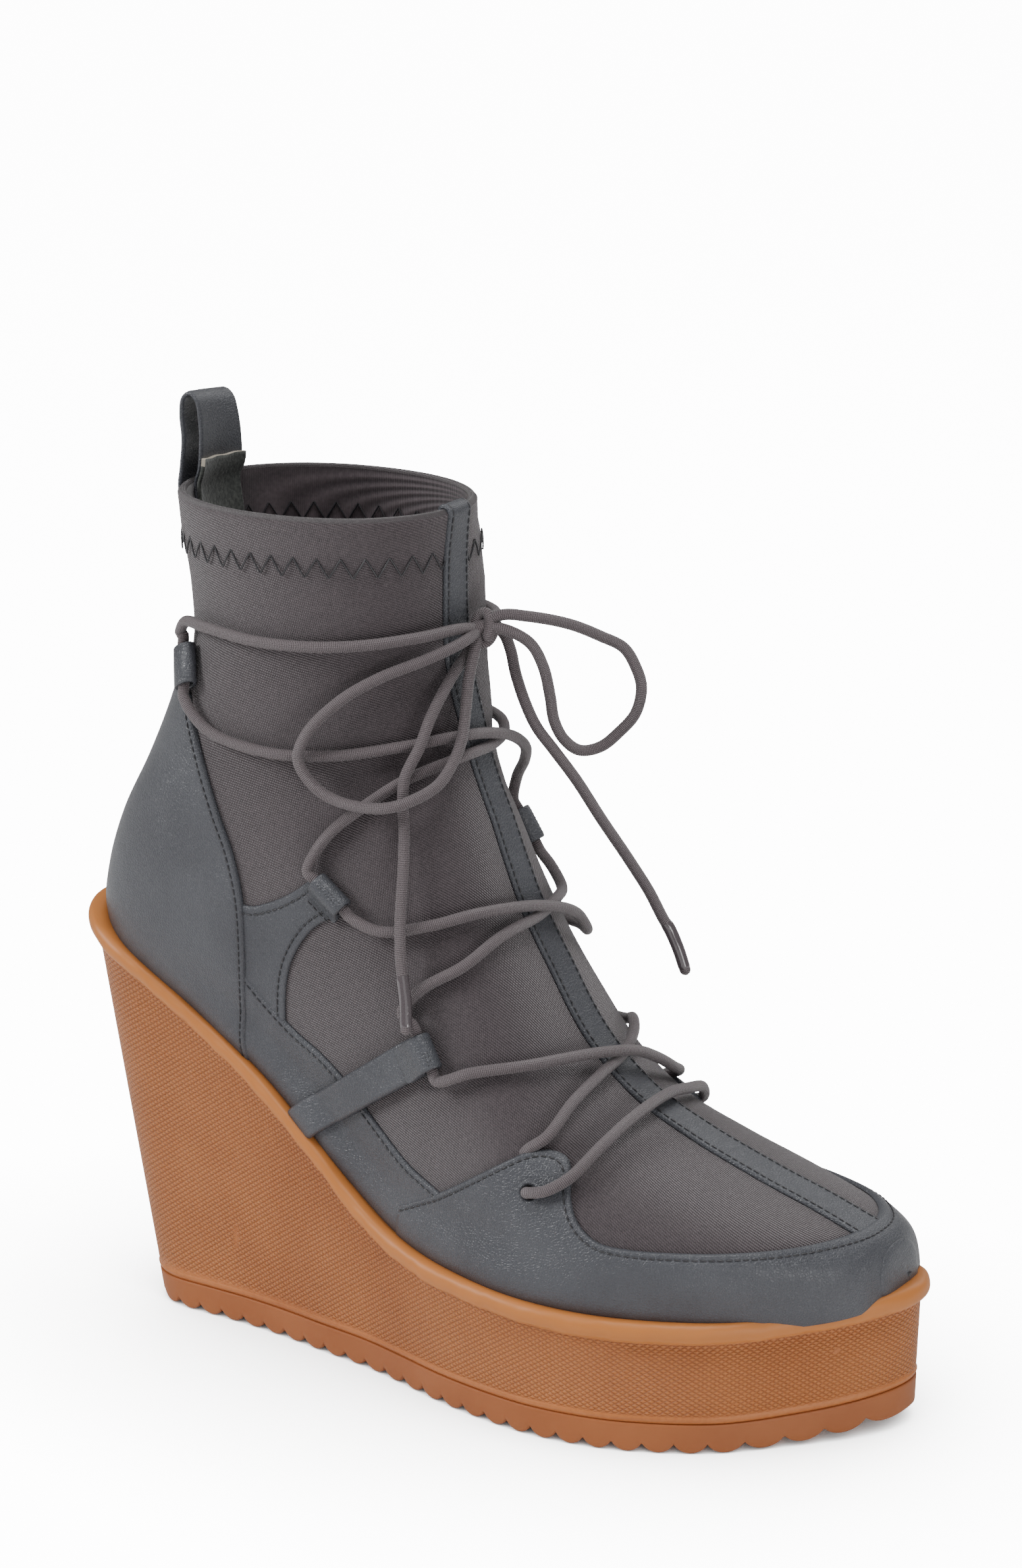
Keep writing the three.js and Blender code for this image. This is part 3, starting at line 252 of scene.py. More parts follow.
def grid_triangles(rows: int, columns: int, closed: bool = False) -> Array:
    """Triangles of a grid of points."""
    quads = grid_faces(rows, columns, closed)
    return np.vstack([quads[:, [0, 1, 2]], quads[:, [0, 2, 3]]])


def tube(path: Array, radius: Array | float, sides: int = 16) -> Triple:
    """Tube along a path with rounded closed ends.

    Args:
        path: Rows of middle points in millimetres.
        radius: One radius, or one for each point.
        sides: Number of points round the tube.

    Returns:
        Points, faces and pattern places in millimetres along and round the tube.
    """
    path = np.asarray(path, float)
    radii = np.broadcast_to(np.asarray(radius, float), (len(path),)).copy()
    way = unit(np.gradient(path, axis=0))
    side = unit(np.cross(way[0], [0.31, 0.2, 0.93]))
    sides_row = []
    for k in range(len(path)):
        side = side - way[k] * (side @ way[k])
        side = side / np.linalg.norm(side)
        sides_row.append(side)
    across = np.array(sides_row)
    up = np.cross(across, way)
    bends = (1.35, 0.8, 0.35)
    rings = [(path[0] - way[0] * radii[0] * math.sin(a), radii[0] * math.cos(a), 0) for a in bends]
    rings += [(point, size, k) for k, (point, size) in enumerate(zip(path, radii))]
    rings += [(path[-1] + way[-1] * radii[-1] * math.sin(a), radii[-1] * math.cos(a), -1)
              for a in bends[::-1]]
    centres, sizes = np.array([row[0] for row in rings]), np.array([row[1] for row in rings])
    picks = [row[2] for row in rings]
    turn = np.linspace(0, 2 * math.pi, sides + 1)
    ring = (across[picks, None] * np.cos(turn)[None, :, None]
            + up[picks, None] * np.sin(turn)[None, :, None]) * sizes[:, None, None]
    points = centres[:, None] + ring
    far = distances(centres)
    uv = np.stack(np.broadcast_arrays(far[:, None], turn[None] * radii.mean()), axis=-1)
    faces = grid_faces(len(centres), sides + 1)
    rows = points.shape[0]
    start = np.array([[0, k + 1, k, k] for k in range(1, sides - 1)])
    base = (rows - 1) * (sides + 1)
    end = np.array([[base, base + k, base + k + 1, base + k + 1] for k in range(1, sides - 1)])
    return points.reshape(-1, 3), np.vstack([faces, start, end]), uv.reshape(-1, 2)


def merge(parts: Sequence[Triple]) -> Triple:
    """Join several sets of points, faces and pattern places into one."""
    points, faces, uvs, base = [], [], [], 0
    for p, f, u in parts:
        points.append(p)
        faces.append(f + base)
        uvs.append(u)
        base += len(p)
    return np.vstack(points), np.vstack(faces), np.vstack(uvs)


def ladder(ring: Sequence[int], flip: bool) -> Array:
    """Quads across a closed ring of point numbers, from its first half to its second."""
    n = len(ring)
    rows = []
    for k in range(n // 2 - 1):
        row = [ring[k], ring[n - 1 - k], ring[n - 2 - k], ring[k + 1]]
        rows.append(row[::-1] if flip else row)
    return np.array(rows)


TREAD_ROWS = (  # place along the tread, middle, heel half and ball half, as shares
    (0.0, 0.02, 0.96, 0), (0.16, 0.01, 1.03, 0), (0.229, -0.01, 1.085, 0), (0.294, -0.04, 0, 0.611),
    (0.367, -0.06, 0, 0.663), (0.432, -0.08, 0, 0.746), (0.501, -0.09, 0, 0.854),
    (0.575, -0.08, 0, 0.948), (0.639, -0.06, 0, 1.0), (0.713, -0.02, 0, 1.002),
    (0.782, 0.03, 0, 0.948), (0.851, 0.1, 0, 0.888), (0.92, 0.2, 0, 0.764), (1.0, 0.31, 0, 0.674),
)
RIM_ROWS = (  # place along the tread and share of the rise from platform to heel
    (0.0, 1.0), (0.06, 0.885), (0.147, 0.712), (0.235, 0.53), (0.318, 0.325), (0.36, 0.205),
    (0.415, 0.102), (0.482, 0.045), (0.57, 0.02), (0.7, 0.0), (1.0, 0.0),
)


@dataclass(frozen=True)
class SoleShape:
    """Outline and heights of the wedge and its tread, in millimetres."""

    length: float = 232
    ball: float = 89
    heel: float = 47
    heel_round: float = 19
    toe_round: float = 61.5
    heel_height: float = 112
    platform: float = 32.5
    spring: float = 4
    spring_from: float = 0.84
    heel_lean: float = 17
    flare: float = 0.035
    band: float = 6
    outsole: float = 8.4
    squareness: float = 2.7

    def half(self, x: Array) -> Array:
        """Half width of the tread at places along it."""
        rows = np.array(TREAD_ROWS)
        half = curve_at(rows[:, 0], (rows[:, 2] * self.heel + rows[:, 3] * self.ball) / 2, x / self.length)
        back = np.clip((self.heel_round - x) / self.heel_round, 0, 1)
        front = np.clip((x - self.length + self.toe_round) / self.toe_round, 0, 1)
        half = half * np.power(1 - np.power(back, self.squareness), 1 / self.squareness)
        return half * np.sqrt(1 - front * front)

    def centre(self, x: Array) -> Array:
        """Middle line of the tread at places along it."""
        rows = np.array(TREAD_ROWS)
        return curve_at(rows[:, 0], rows[:, 1] * self.ball / 2, x / self.length)

    def toe_spring(self, x: Array) -> Array:
        """Height of the tread over the floor."""
        start = self.spring_from * self.length
        return self.spring * (np.maximum(x - start, 0) / (self.length - start)) ** 2

    def rim(self, x: Array) -> Array:
        """Height of the rim's lower edge."""
        rows = np.array(RIM_ROWS)
        rise = curve_at(rows[:, 0], rows[:, 1], x / self.length)
        return self.platform + rise * (self.heel_height - self.platform) + self.toe_spring(x) * 0.8

    def lean(self, x: Array, z: Array) -> Array:
        """How far the heel's back leans out over the tread at a height."""
        return self.heel_lean * z / self.heel_height * np.maximum(1 - x / self.length, 0) ** 1.6

    def outline(self, x: Array) -> tuple[Array, Array]:
        """Tread outline through places along it.

        Args:
            x: Rising places, none at the very ends.

        Returns:
            Points from the heel along the outer side and back, and their outward normals.
        """
        outer = np.stack([x, self.centre(x) - self.half(x)], axis=1)
        inner = np.stack([x, self.centre(x) + self.half(x)], axis=1)[::-1]
        points = np.vstack([outer, inner])
        step = np.roll(points, -1, axis=0) - np.roll(points, 1, axis=0)
        return points, unit(np.stack([step[:, 1], -step[:, 0]], axis=1))

    def ring(self, x: Array, z: Array, growth: Array | float) -> Array:
        """One ring of the wall, as growth beyond the tread outline at its points' heights."""
        points, normals = self.outline(x)
        grown = (growth + self.flare * z)[:, None]
        moved = points + normals * grown
        return np.stack([moved[:, 0] - self.lean(points[:, 0], z), moved[:, 1], z], axis=1)

    def rim_top(self, x: Array) -> Array:
        """Height of the rim's top edge at places on the boot, past the heel's lean."""
        along = np.linspace(0.5, self.length - 0.5, 160)
        z = self.rim(along) + self.band
        return np.interp(x, along - self.lean(along, z), z)


SECTION_ROWS = (  # top x, lift, rise; foot x, lift, rise; ball, ankle, widest, crown, base
    (0.985, 0, 0.133, 0.987, 0, 0.02, 0.12, 0, 0.45, 2.4, 2.4),
    (0.973, 0, 0.156, 0.979, 0, 0.0, 0.2, 0, 0.42, 2.6, 2.6),
    (0.946, 0, 0.174, 0.96, 0, -0.02, 0.275, 0, 0.4, 2.8, 2.7),
    (0.903, 0, 0.2, 0.915, 0, -0.03, 0.36, 0, 0.38, 2.8, 2.8),
    (0.833, 0, 0.238, 0.848, 0, -0.035, 0.445, 0, 0.36, 2.7, 2.8),
    (0.755, 0, 0.289, 0.77, 0, -0.035, 0.485, 0, 0.35, 2.5, 2.8),
    (0.68, 0, 0.356, 0.695, 0, -0.035, 0.487, 0, 0.34, 2.35, 2.8),
    (0.618, 0, 0.458, 0.615, 0, -0.035, 0.47, 0, 0.34, 2.4, 2.8),
    (0.57, 0, 0.592, 0.533, 0, -0.03, 0.43, 0, 0.38, 2.5, 2.7),
    (0.537, 0.25, 0.58, 0.451, 0.03, 0.0, 0, 0.525, 0.42, 2.6, 2.6),
    (0.516, 0.6, 0.506, 0.353, 0.27, 0.0, 0, 0.485, 0.47, 2.6, 2.6),
    (0.5, 0.85, 0.465, 0.247, 0.57, 0.0, 0, 0.47, 0.52, 2.5, 2.7),
    (0.486, 1, 0.458, 0.13, 0.8, 0.0, 0, 0.47, 0.54, 2.4, 2.8),
    (0.475, 1, 0.514, 0.03, 0.98, 0.0, 0, 0.473, 0.54, 2.3, 2.8),
    (0.467, 1, 0.563, -0.004, 1, 0.09, 0, 0.47, 0.52, 2.1, 2.6),
    (0.459, 1, 0.612, -0.003, 1, 0.19, 0, 0.475, 0.52, 2.1, 2.4),
    (0.451, 1, 0.668, 0.02, 1, 0.31, 0, 0.48, 0.52, 2.1, 2.3),
    (0.445, 1, 0.725, 0.058, 1, 0.435, 0, 0.485, 0.52, 2.1, 2.2),
    (0.443, 1, 0.788, 0.094, 1, 0.565, 0, 0.49, 0.5, 2.1, 2.2),
    (0.443, 1, 0.852, 0.117, 1, 0.69, 0, 0.495, 0.5, 2.1, 2.1),
    (0.444, 1, 0.915, 0.117, 1, 0.805, 0, 0.505, 0.5, 2.1, 2.1),
    (0.447, 1, 0.962, 0.108, 1, 0.91, 0, 0.515, 0.5, 2.1, 2.1),
    (0.45, 1, 1.0, 0.102, 1, 1.0, 0, 0.52, 0.5, 2.1, 2.1),
)
TOE_TIP = (0.992, 0.07)


@dataclass(frozen=True)
class FootForm:
    """Smooth outer face of the upper, read by section and turn."""

    sole: SoleShape
    length: float = 246
    heel_set: float = 14.5
    heel_seat: float = 101
    fore_seat: float = 34
    shaft: float = 142
    ankle: float = 68
    wall: float = 2.2

    @property
    def last(self) -> int:
        """Number of the collar's section."""
        return len(SECTION_ROWS) - 1

    def x_at(self, share: Array | float) -> Array | float:
        """Place along the boot of a share of the upper's length."""
        return share * self.length - self.heel_set

    def z_at(self, lift: Array | float, rise: Array | float) -> Array | float:
        """Height of a lift and rise."""
        return self.fore_seat + lift * (self.heel_seat - self.fore_seat) + rise * self.shaft

    def _tube(self, section: Array, turn: Array) -> Array:
        rows = np.array(SECTION_ROWS)
        places = np.arange(len(rows))
        column = {
            "tx": self.x_at(rows[:, 0]), "tz": self.z_at(rows[:, 1], rows[:, 2]),
            "fx": self.x_at(rows[:, 3]), "fz": self.z_at(rows[:, 4], rows[:, 5]),
            "half": rows[:, 6] * self.sole.ball + rows[:, 7] * self.ankle,
            "wide": rows[:, 8], "crown": rows[:, 9], "base": rows[:, 10],
        }
        read = {name: curve_at(places, values, section) for name, values in column.items()}
        up, side = np.cos(turn), np.sin(turn)
        power = 2 / np.where(up > 0, read["crown"], read["base"])
        rise = np.abs(up) ** power
        wide = read["wide"]
        along = np.where(up > 0, wide + (1 - wide) * rise, wide - wide * rise)
        x = read["fx"] + (read["tx"] - read["fx"]) * along
        z = read["fz"] + (read["tz"] - read["fz"]) * along
        y = -np.sign(side) * read["half"] * np.abs(side) ** power
        foot = np.clip((z - self.fore_seat) / (self.heel_seat - self.fore_seat), 0, 1)
        return np.stack([x, y + self.sole.centre(x) * (1 - foot), z], axis=-1)

    def face(self, section: Array, turn: Array) -> Array:
        """Points of the outer face.

        Args:
            section: Section places, with a dome over the toe from -1 to 0.
            turn: Angles from the top round the outer side, in radians.

        Returns:
            Points, one for each pair.
        """
        section, turn = np.broadcast_arrays(np.asarray(section, float), np.asarray(turn, float))
        points = self._tube(np.maximum(section, 0), turn)
        dome = np.clip(-section, 0, 1)[..., None] * (math.pi / 2)
        tip = np.array([self.x_at(TOE_TIP[0]), float(self.sole.centre(np.array(self.sole.length))),
                        self.z_at(0, TOE_TIP[1])])
        middle = np.array([self.x_at(0.986), tip[1], tip[2]])
        domed = middle + (points - middle) * np.cos(dome) + (tip - middle) * np.sin(dome)
        return np.where(section[..., None] < 0, domed, points)

    def normal(self, section: Array, turn: Array) -> Array:
        """Outward normals of the face at the same places."""
        step = 0.02
        along = self.face(section + step, turn) - self.face(section - step, turn)
        near = np.clip(section, -0.97, None)
        along = np.where(np.asarray(section)[..., None] < -0.97,
                         self.face(near + step, turn) - self.face(near - step, turn), along)
        around = self.face(near, turn + step) - self.face(near, turn - step)
        return unit(np.cross(along, around))

    def lifted(self, section: float, turn: float, lift: float) -> Array:
        """Point over the face.

        Args:
            section: Section place.
            turn: Angle in degrees.
            lift: Height over the face in millimetres.

        Returns:
            The point.
        """
        point, out = self.spot(section, math.radians(turn))
        return point + out * lift

    def spot(self, section: float, turn: float) -> tuple[Array, Array]:
        """One point of the face and its outward normal, at a turn in radians."""
        s, t = np.array([section]), np.array([turn])
        return self.face(s, t)[0], self.normal(s, t)[0]


class Patch:
    """Triangles with named values at their corners, which can be cut along a value."""

    def __init__(self, columns: dict[str, Array], triangles: Array) -> None:
        """Hold named columns, one row to a corner point, and the triangles."""
        self.names: dict[str, slice] = {}
        self.data = np.empty((len(next(iter(columns.values()))), 0))
        self.triangles = triangles
        for name, values in columns.items():
            self.put(name, values)

    def get(self, name: str) -> Array:
        """Values of a column, one-dimensional where it has one number."""
        values = self.data[:, self.names[name]]
        return values[:, 0] if values.shape[1] == 1 else values

    def copy(self) -> "Patch":
        """Patch with its own data."""
        twin = Patch.__new__(Patch)
        twin.names, twin.data, twin.triangles = dict(self.names), self.data.copy(), self.triangles.copy()
        return twin

    def put(self, name: str, values: Array) -> None:
        """Add or replace a column."""
        values = values.reshape(len(values), -1)
        if name in self.names:
            self.data[:, self.names[name]] = values
            return
        self.names[name] = slice(self.data.shape[1], self.data.shape[1] + values.shape[1])
        self.data = np.hstack([self.data, values])

    def cut(self, name: str, level: float, keep_below: bool = False) -> list[Array]:
        """Cut along a level of a column.

        Args:
            name: Column that is cut.
            level: Level of the cut.
            keep_below: Whether what is below the level stays, as its own triangles.

        Returns:
            The cut's lines, as lists of point numbers.
        """
        v = self.get(name) - level
        v = np.where(np.abs(v) < 1e-5, 1e-5, v)
        above = v > 0
        tri = self.triangles
        count = above[tri].sum(1)
        kept = [tri[count == 3]]
        if keep_below:
            kept.append(tri[count == 0])
        lines: list[Array] = []
        for lone in (1, 2):
            rows = tri[count == lone]
            if not len(rows):
                continue
            odd = above[rows] if lone == 1 else ~above[rows]
            first = odd.argmax(1)
            a, b, c = (rows[np.arange(len(rows)), (first + k) % 3] for k in range(3))
            ends = []
            for other in (b, c):
                low, high = np.minimum(a, other), np.maximum(a, other)
                ends.append(np.stack([low, high], 1))
            lines.append(np.stack([a, b, c], 1))
            lines.append(np.hstack(ends))
        if not lines:
            self.triangles = np.vstack(kept)
            return []
        pairs = np.vstack([np.vstack([e[:, :2], e[:, 2:]]) for e in lines[1::2]])
        unique, index = np.unique(pairs, axis=0, return_inverse=True)
        index = index.ravel()
        va, vb = v[unique[:, 0]], v[unique[:, 1]]
        share = (va / (va - vb))[:, None]
        fresh = self.data[unique[:, 0]] * (1 - share) + self.data[unique[:, 1]] * share
        base = len(self.data)
        self.data = np.vstack([self.data, fresh])
        place = 0
        segments = []
        for corners, ends, lone in zip(lines[0::2], lines[1::2], [n for n in (1, 2) if (count == n).any()]):
            n = len(corners)
            p = base + index[place:place + n]
            q = base + index[place + n:place + 2 * n]
            place += 2 * n
            a, b, c = corners.T
            tip = np.stack([a, p, q], 1)
            rest = np.vstack([np.stack([p, b, c], 1), np.stack([p, c, q], 1)])
            segments.append(np.stack([p, q], 1))
            if lone == 1:
                kept.append(tip)
                if keep_below:
                    kept.append(rest)
            else:
                kept.append(rest)
                if keep_below:
                    kept.append(tip)
        self.triangles = np.vstack(kept)
        return chains(np.vstack(segments))


def chains(segments: Array) -> list[Array]:
    """Join pairs of point numbers into runs.

    Args:
        segments: Rows of two point numbers.

    Returns:
        One array of point numbers for each run, longest first.
    """
    near: dict[int, list[int]] = {}
    for a, b in segments.tolist():
        near.setdefault(a, []).append(b)
        near.setdefault(b, []).append(a)
    seen: set[int] = set()
    runs = []
    order = [k for k, v in near.items() if len(v) == 1] + list(near)
    for start in order:
        if start in seen:
            continue
        run, here = [start], start
        seen.add(start)
        while True:
            ahead = [k for k in near[here] if k not in seen]
            if not ahead:
                break
            here = ahead[0]
            seen.add(here)
            run.append(here)
        if near[run[-1]].count(run[0]) and len(run) > 3:
            run.append(run[0])
        runs.append(np.array(run))
    return sorted(runs, key=len, reverse=True)


def line_distance(points: Array, line: Array) -> Array:
    """Distance of points from a line in side view, positive on its left.

    Args:
        points: Rows of x and z.
        line: Rows of x and z.

    Returns:
        Signed distances.
    """
    best = np.full(len(points), np.inf)
    sign = np.zeros(len(points))
    for a, b in zip(line[:-1], line[1:]):
        d = b - a
        t = np.clip(((points - a) @ d) / (d @ d), 0, 1)
        off = points - a - t[:, None] * d
        gap = np.hypot(off[:, 0], off[:, 1])
        side = d[0] * (points[:, 1] - a[1]) - d[1] * (points[:, 0] - a[0])
        closer = gap < best - 1e-9
        best = np.where(closer, gap, best)
        sign = np.where(closer, np.sign(side), sign)
    return best * sign


def ring_distance(points: Array, ring: Array) -> Array:
    """Distance of points from a closed outline in side view, positive inside."""
    closed = np.vstack([ring, ring[:1]])
    gap = np.abs(line_distance(points, closed))
    inside = np.zeros(len(points), bool)
    for (x0, z0), (x1, z1) in zip(closed[:-1], closed[1:]):
        crosses = (z0 > points[:, 1]) != (z1 > points[:, 1])
        with np.errstate(divide="ignore", invalid="ignore"):
            at = x0 + (points[:, 1] - z0) / (z1 - z0) * (x1 - x0)
        inside ^= crosses & (points[:, 0] < at)
    return np.where(inside, gap, -gap)


def warped(count: int, first: float = 0.0, last: float = 2 * math.pi) -> Array:
    """Turns spaced evenly round a squarish section.

    Args:
        count: Number of turns.
        first: First angle from the top.
        last: Last angle.

    Returns:
        Rising angles from first to last.
    """
    q = np.linspace(first, last, count)
    whole = np.floor(q / (2 * math.pi))
    s, c = np.sin(q), np.cos(q)
    t = np.arctan2(np.sign(s) * np.abs(s) ** 1.25, np.sign(c) * np.abs(c) ** 1.25)
    t = np.where(t < -1e-9, t + 2 * math.pi, t) + whole * 2 * math.pi
    t[-1] = last if abs(last % (math.pi / 2)) < 1e-9 else t[-1]
    return np.maximum.accumulate(t)


FRONT_ROUND = (  # sections, fullness of the inner front of the shaft in millimetres
    (12, 12.9, 14, 14.7, 15.7, 17, 18, 19, 20, 21, 21.9),
    (0, 1.0, 3.2, 4.5, 5.2, 5.3, 5.0, 4.2, 2.7, 0.8, 0),
)


FRONT_TURN = -36
FRONT_WAY = np.array([0.84, 0.54])


@dataclass(frozen=True, kw_only=True)
class RestingForm(FootForm):
    """Foot form that leans to the rim that it rests on, with a fuller inner front."""

    places: Array
    outer: Array
    inner: Array

    def face(self, section: Array, turn: Array) -> Array:
        """Points of the outer face, with the lean near the rim."""
        points = super().face(section, turn)
        x = points[..., 0]
        near = 1 - smooth(-1, 17, points[..., 2] - self.sole.rim_top(x))
        side = np.sin(np.broadcast_to(np.asarray(turn, float), x.shape))
        outward, inward = np.interp(x, self.places, self.outer), np.interp(x, self.places, self.inner)
        shift = np.where(side > 0, -outward, inward)
        points[..., 1] += shift * near * np.clip(np.abs(side) * 4, 0, 1)
        off = (np.degrees(np.asarray(turn, float)) - FRONT_TURN + 180) % 360 - 180
        full = np.interp(section, *FRONT_ROUND) * np.exp(-((off / 25) ** 2))
        points[..., :2] += full[..., None] * FRONT_WAY
        return points


def resting(plain: FootForm) -> RestingForm:
    """Form of the foot with the lean that makes it meet the rim.

    Args:
        plain: Form as it leaves the last.

    Returns:
        The leaning form.
    """
    s, t = np.meshgrid(np.linspace(0, 20, 300), np.linspace(0, 2 * math.pi, 361), indexing="ij")
    points = plain.face(s, t).reshape(-1, 3)
    edge = points[np.abs(points[:, 2] - plain.sole.rim_top(points[:, 0])) < 1.5]
    spots = np.linspace(0.5, plain.sole.length - 0.5, 200)
    ring = plain.sole.ring(spots, plain.sole.rim(there_and_back(spots)) + plain.sole.band, -1.7)
    half = len(ring) // 2
    places = np.arange(6.0, 234.0, 6.0)
    reach = []
    for sign, part in ((-1, ring[:half]), (1, ring[half:][::-1])):
        rim = np.interp(places, part[:, 0], part[:, 1] * sign)
        close = [edge[np.abs(edge[:, 0] - x) < 3.5] for x in places]
        now = np.array([(rows[:, 1] * sign).max(initial=-99) for rows in close])
        gap = np.clip(rim - now, 0, 9) * smooth(4, 26, places) * (1 - smooth(135, 185, places))
        over = np.clip(rim - 0.6 - now, -3.5, 0)
        gap += over * smooth(150, 180, places) * (1 - smooth(208, 228, places))
        reach.append(np.convolve(np.pad(gap, 2, mode="edge"), np.full(5, 0.2), mode="valid"))
    LOG.info("leans out by up to %.1f and %.1f mm", reach[0].max(), reach[1].max())
    return RestingForm(plain.sole, places=places, outer=reach[0], inner=reach[1])


SOLE = SoleShape()
FOOT = resting(FootForm(SOLE))
GAP = 0.3
FABRIC_TUCK = 4.2
LEATHER_TUCK = 2.4
UNDER = -20
LACE = 3.2
SLEEVE_OUTSIDE = LACE / 2 + 0.6 + 1.1
SLEEVE_BORE = 2.05
SLEEVE_LEATHER = 1.15
TACK_REACH = SLEEVE_BORE + SLEEVE_LEATHER + 0.02
FOLD = FOOT.wall / 2
HEM = 12.6
COLLAR_STEP = 13.3  # from one section to the next near the collar


def sock(section: Array, turn: Array) -> tuple[Array, Array]:
    """Fabric surface, over the collar's edge and down the inside.

    Args:
        section: Place up to the collar's number, one more for the folded edge, then down the inside.
        turn: Angles in radians.

    Returns:
        Points and outward normals.
    """
    section, turn = np.broadcast_arrays(np.asarray(section, float), np.asarray(turn, float))
    last = FOOT.last
    inside = section > last + 1
    face_at = np.where(inside, 2 * last + 1 - section, np.minimum(section, last))
    point, normal = FOOT.face(face_at, turn), FOOT.normal(np.minimum(face_at, last - 0.03), turn)
    bend = (np.clip(section - last, 0, 1) * math.pi)[..., None]
    rise = np.array([-0.05, 0.0, 1.0])
    moved = point + normal * (np.cos(bend) - 1) * FOLD + rise * np.sin(bend) * FOLD
    point = np.where(inside[..., None], point - normal * FOOT.wall, moved)
    normal = np.where(inside[..., None], -normal, normal * np.cos(bend) + rise * np.sin(bend))
    return point, unit(normal)


def near_place(x: float, z: float, side: Side) -> tuple[float, float]:
    """Section and turn, in radians, of the face's place at a side-view point."""
    low_s, high_s, low_t, high_t = 0.5, float(FOOT.last), 0.02, math.pi - 0.02
    best = (0.0, 0.0)
    for _ in range(4):
        s, t = np.meshgrid(np.linspace(low_s, high_s, 60), np.linspace(low_t, high_t, 60), indexing="ij")
        points = FOOT.face(s, t * -side.value)
        gap = np.hypot(points[..., 0] - x, points[..., 2] - z)
        k = np.unravel_index(gap.argmin(), gap.shape)
        best = (float(s[k]), float(t[k]))
        reach_s, reach_t = (high_s - low_s) / 20, (high_t - low_t) / 20
        low_s, high_s = best[0] - reach_s, min(best[0] + reach_s, FOOT.last)
        low_t, high_t = best[1] - reach_t, best[1] + reach_t
    return best[0], best[1] * -side.value


def panel_point(row: tuple[float, float]) -> Array:
    """Side-view point of a panel row."""
    x = FOOT.x_at(row[0])
    return np.array([x, float(SOLE.rim_top(np.array(x))) + row[1] * FOOT.shaft])


def panel_line(rows: Sequence[tuple[float, float]], spacing: float = 2.0) -> Array:
    """Smooth side-view line through panel rows."""
    flat = np.array([panel_point(row) for row in rows])
    return spline(flat, spacing)


def face_patch(first: float, last: float, rows: int, low: float, high: float, columns: int) -> Patch:
    """Piece of the upper's face as a patch.

    Args:
        first: First section.
        last: Last section, which may run over the collar.
        rows: Number of rows between them.
        low: First turn in degrees.
        high: Last turn in degrees.
        columns: Number of columns between them.

    Returns:
        A patch with place, normal and section.
    """
    closed = high - low > 359
    turns = warped(columns + closed, math.radians(low), math.radians(high))[:columns]
    s, t = np.meshgrid(np.linspace(first, last, rows), turns, indexing="ij")
    point, normal = sock(s, t)
    flat = {"place": point.reshape(-1, 3), "normal": normal.reshape(-1, 3), "section": s.reshape(-1)}
    return Patch(flat, grid_triangles(rows, columns, closed))


def shell_of(tri: Array, outer: Array, inner: Array) -> tuple[Array, Array]:
    """Closed solid between two copies of a surface.

    Args:
        tri: Triangles that both copies share.
        outer: Outer places of the points.
        inner: Inner places of the points.

    Returns:
        Points and faces.
    """
    used, index = np.unique(tri, return_inverse=True)
    tri = index.reshape(-1, 3)
    outer, inner = outer.reshape(-1, 3)[used], inner.reshape(-1, 3)[used]
    edges = np.vstack([tri[:, [0, 1]], tri[:, [1, 2]], tri[:, [2, 0]]])
    key = np.sort(edges, axis=1)
    first, count = np.unique(key, axis=0, return_index=True, return_counts=True)[1:]
    rim = edges[first[count == 1]]
    n = len(used)
    back = tri[:, ::-1] + n
    wall = np.stack([rim[:, 1], rim[:, 0], rim[:, 0] + n, rim[:, 1] + n], axis=1)
    fan = np.vstack([np.hstack([tri, tri[:, 2:]]), np.hstack([back, back[:, 2:]])])
    return np.vstack([outer, inner]), np.vstack([fan, wall])


@dataclass(frozen=True)
class Run:
    """Line of points on a surface, with the surface's outward direction at each."""

    points: Array
    ups: Array


@dataclass
class Layer:
    """Leather panel on the upper, as a rounded sheet inside an edge."""

    name: str
    top: float
    base: float = 0.12
    roll: float = 0.9
    stitch: tuple[float, ...] = (1.7,)
    channel: float = 0.12

    def height(self, inset: Array) -> Array:
        """Height of the outer face over the upper at distances from the edge."""
        t = np.clip(inset / self.roll, 0, 1)
        low = max(self.base, self.top - 1.3)
        rise = low + (self.top - low) * np.sqrt(np.clip(1 - (1 - t) ** 2, 0, 1))
        for place in self.stitch:
            rise = rise - self.channel * np.exp(-(((inset - place) / 0.45) ** 2))
        return rise

    def make(self, patch: Patch) -> tuple[Array, Array, Array, list[Run]]:
        """Cut the sheet out of a patch with a column named inset.

        Args:
            patch: Part of the face; inset is positive within the panel.

        Returns:
            Points, faces, pattern places and the stitch lines.
        """
        patch.cut("inset", 0.0)
        runs: list[Run] = []
        for level in (0.04, 0.14, 0.3, 0.55, 0.9):
            patch.cut("inset", level * self.roll / 0.9, keep_below=True)
        for place in self.stitch:
            for level in (place - 0.7, place - 0.3, place + 0.3, place + 0.7):
                patch.cut("inset", level, keep_below=True)
            for chain in patch.cut("inset", place, keep_below=True):
                if "plain" in patch.names:
                    chain = chain[patch.get("plain")[chain] < 0.5]
                if len(chain) > 4:
                    rows, ups = patch.get("place")[chain], patch.get("normal")[chain]
                    lift = self.height(patch.get("inset")[chain])[:, None]
                    runs.append(Run(rows + ups * lift, ups))
        place, normal = patch.get("place"), patch.get("normal")
        lift = self.height(patch.get("inset"))[:, None]
        points, faces = shell_of(patch.triangles, place + normal * lift, place + normal * self.base)
        used = np.unique(patch.triangles)
        both = np.vstack([place[used], place[used]])
        return points, faces, np.stack([both[:, 0], both[:, 2]], axis=1), runs


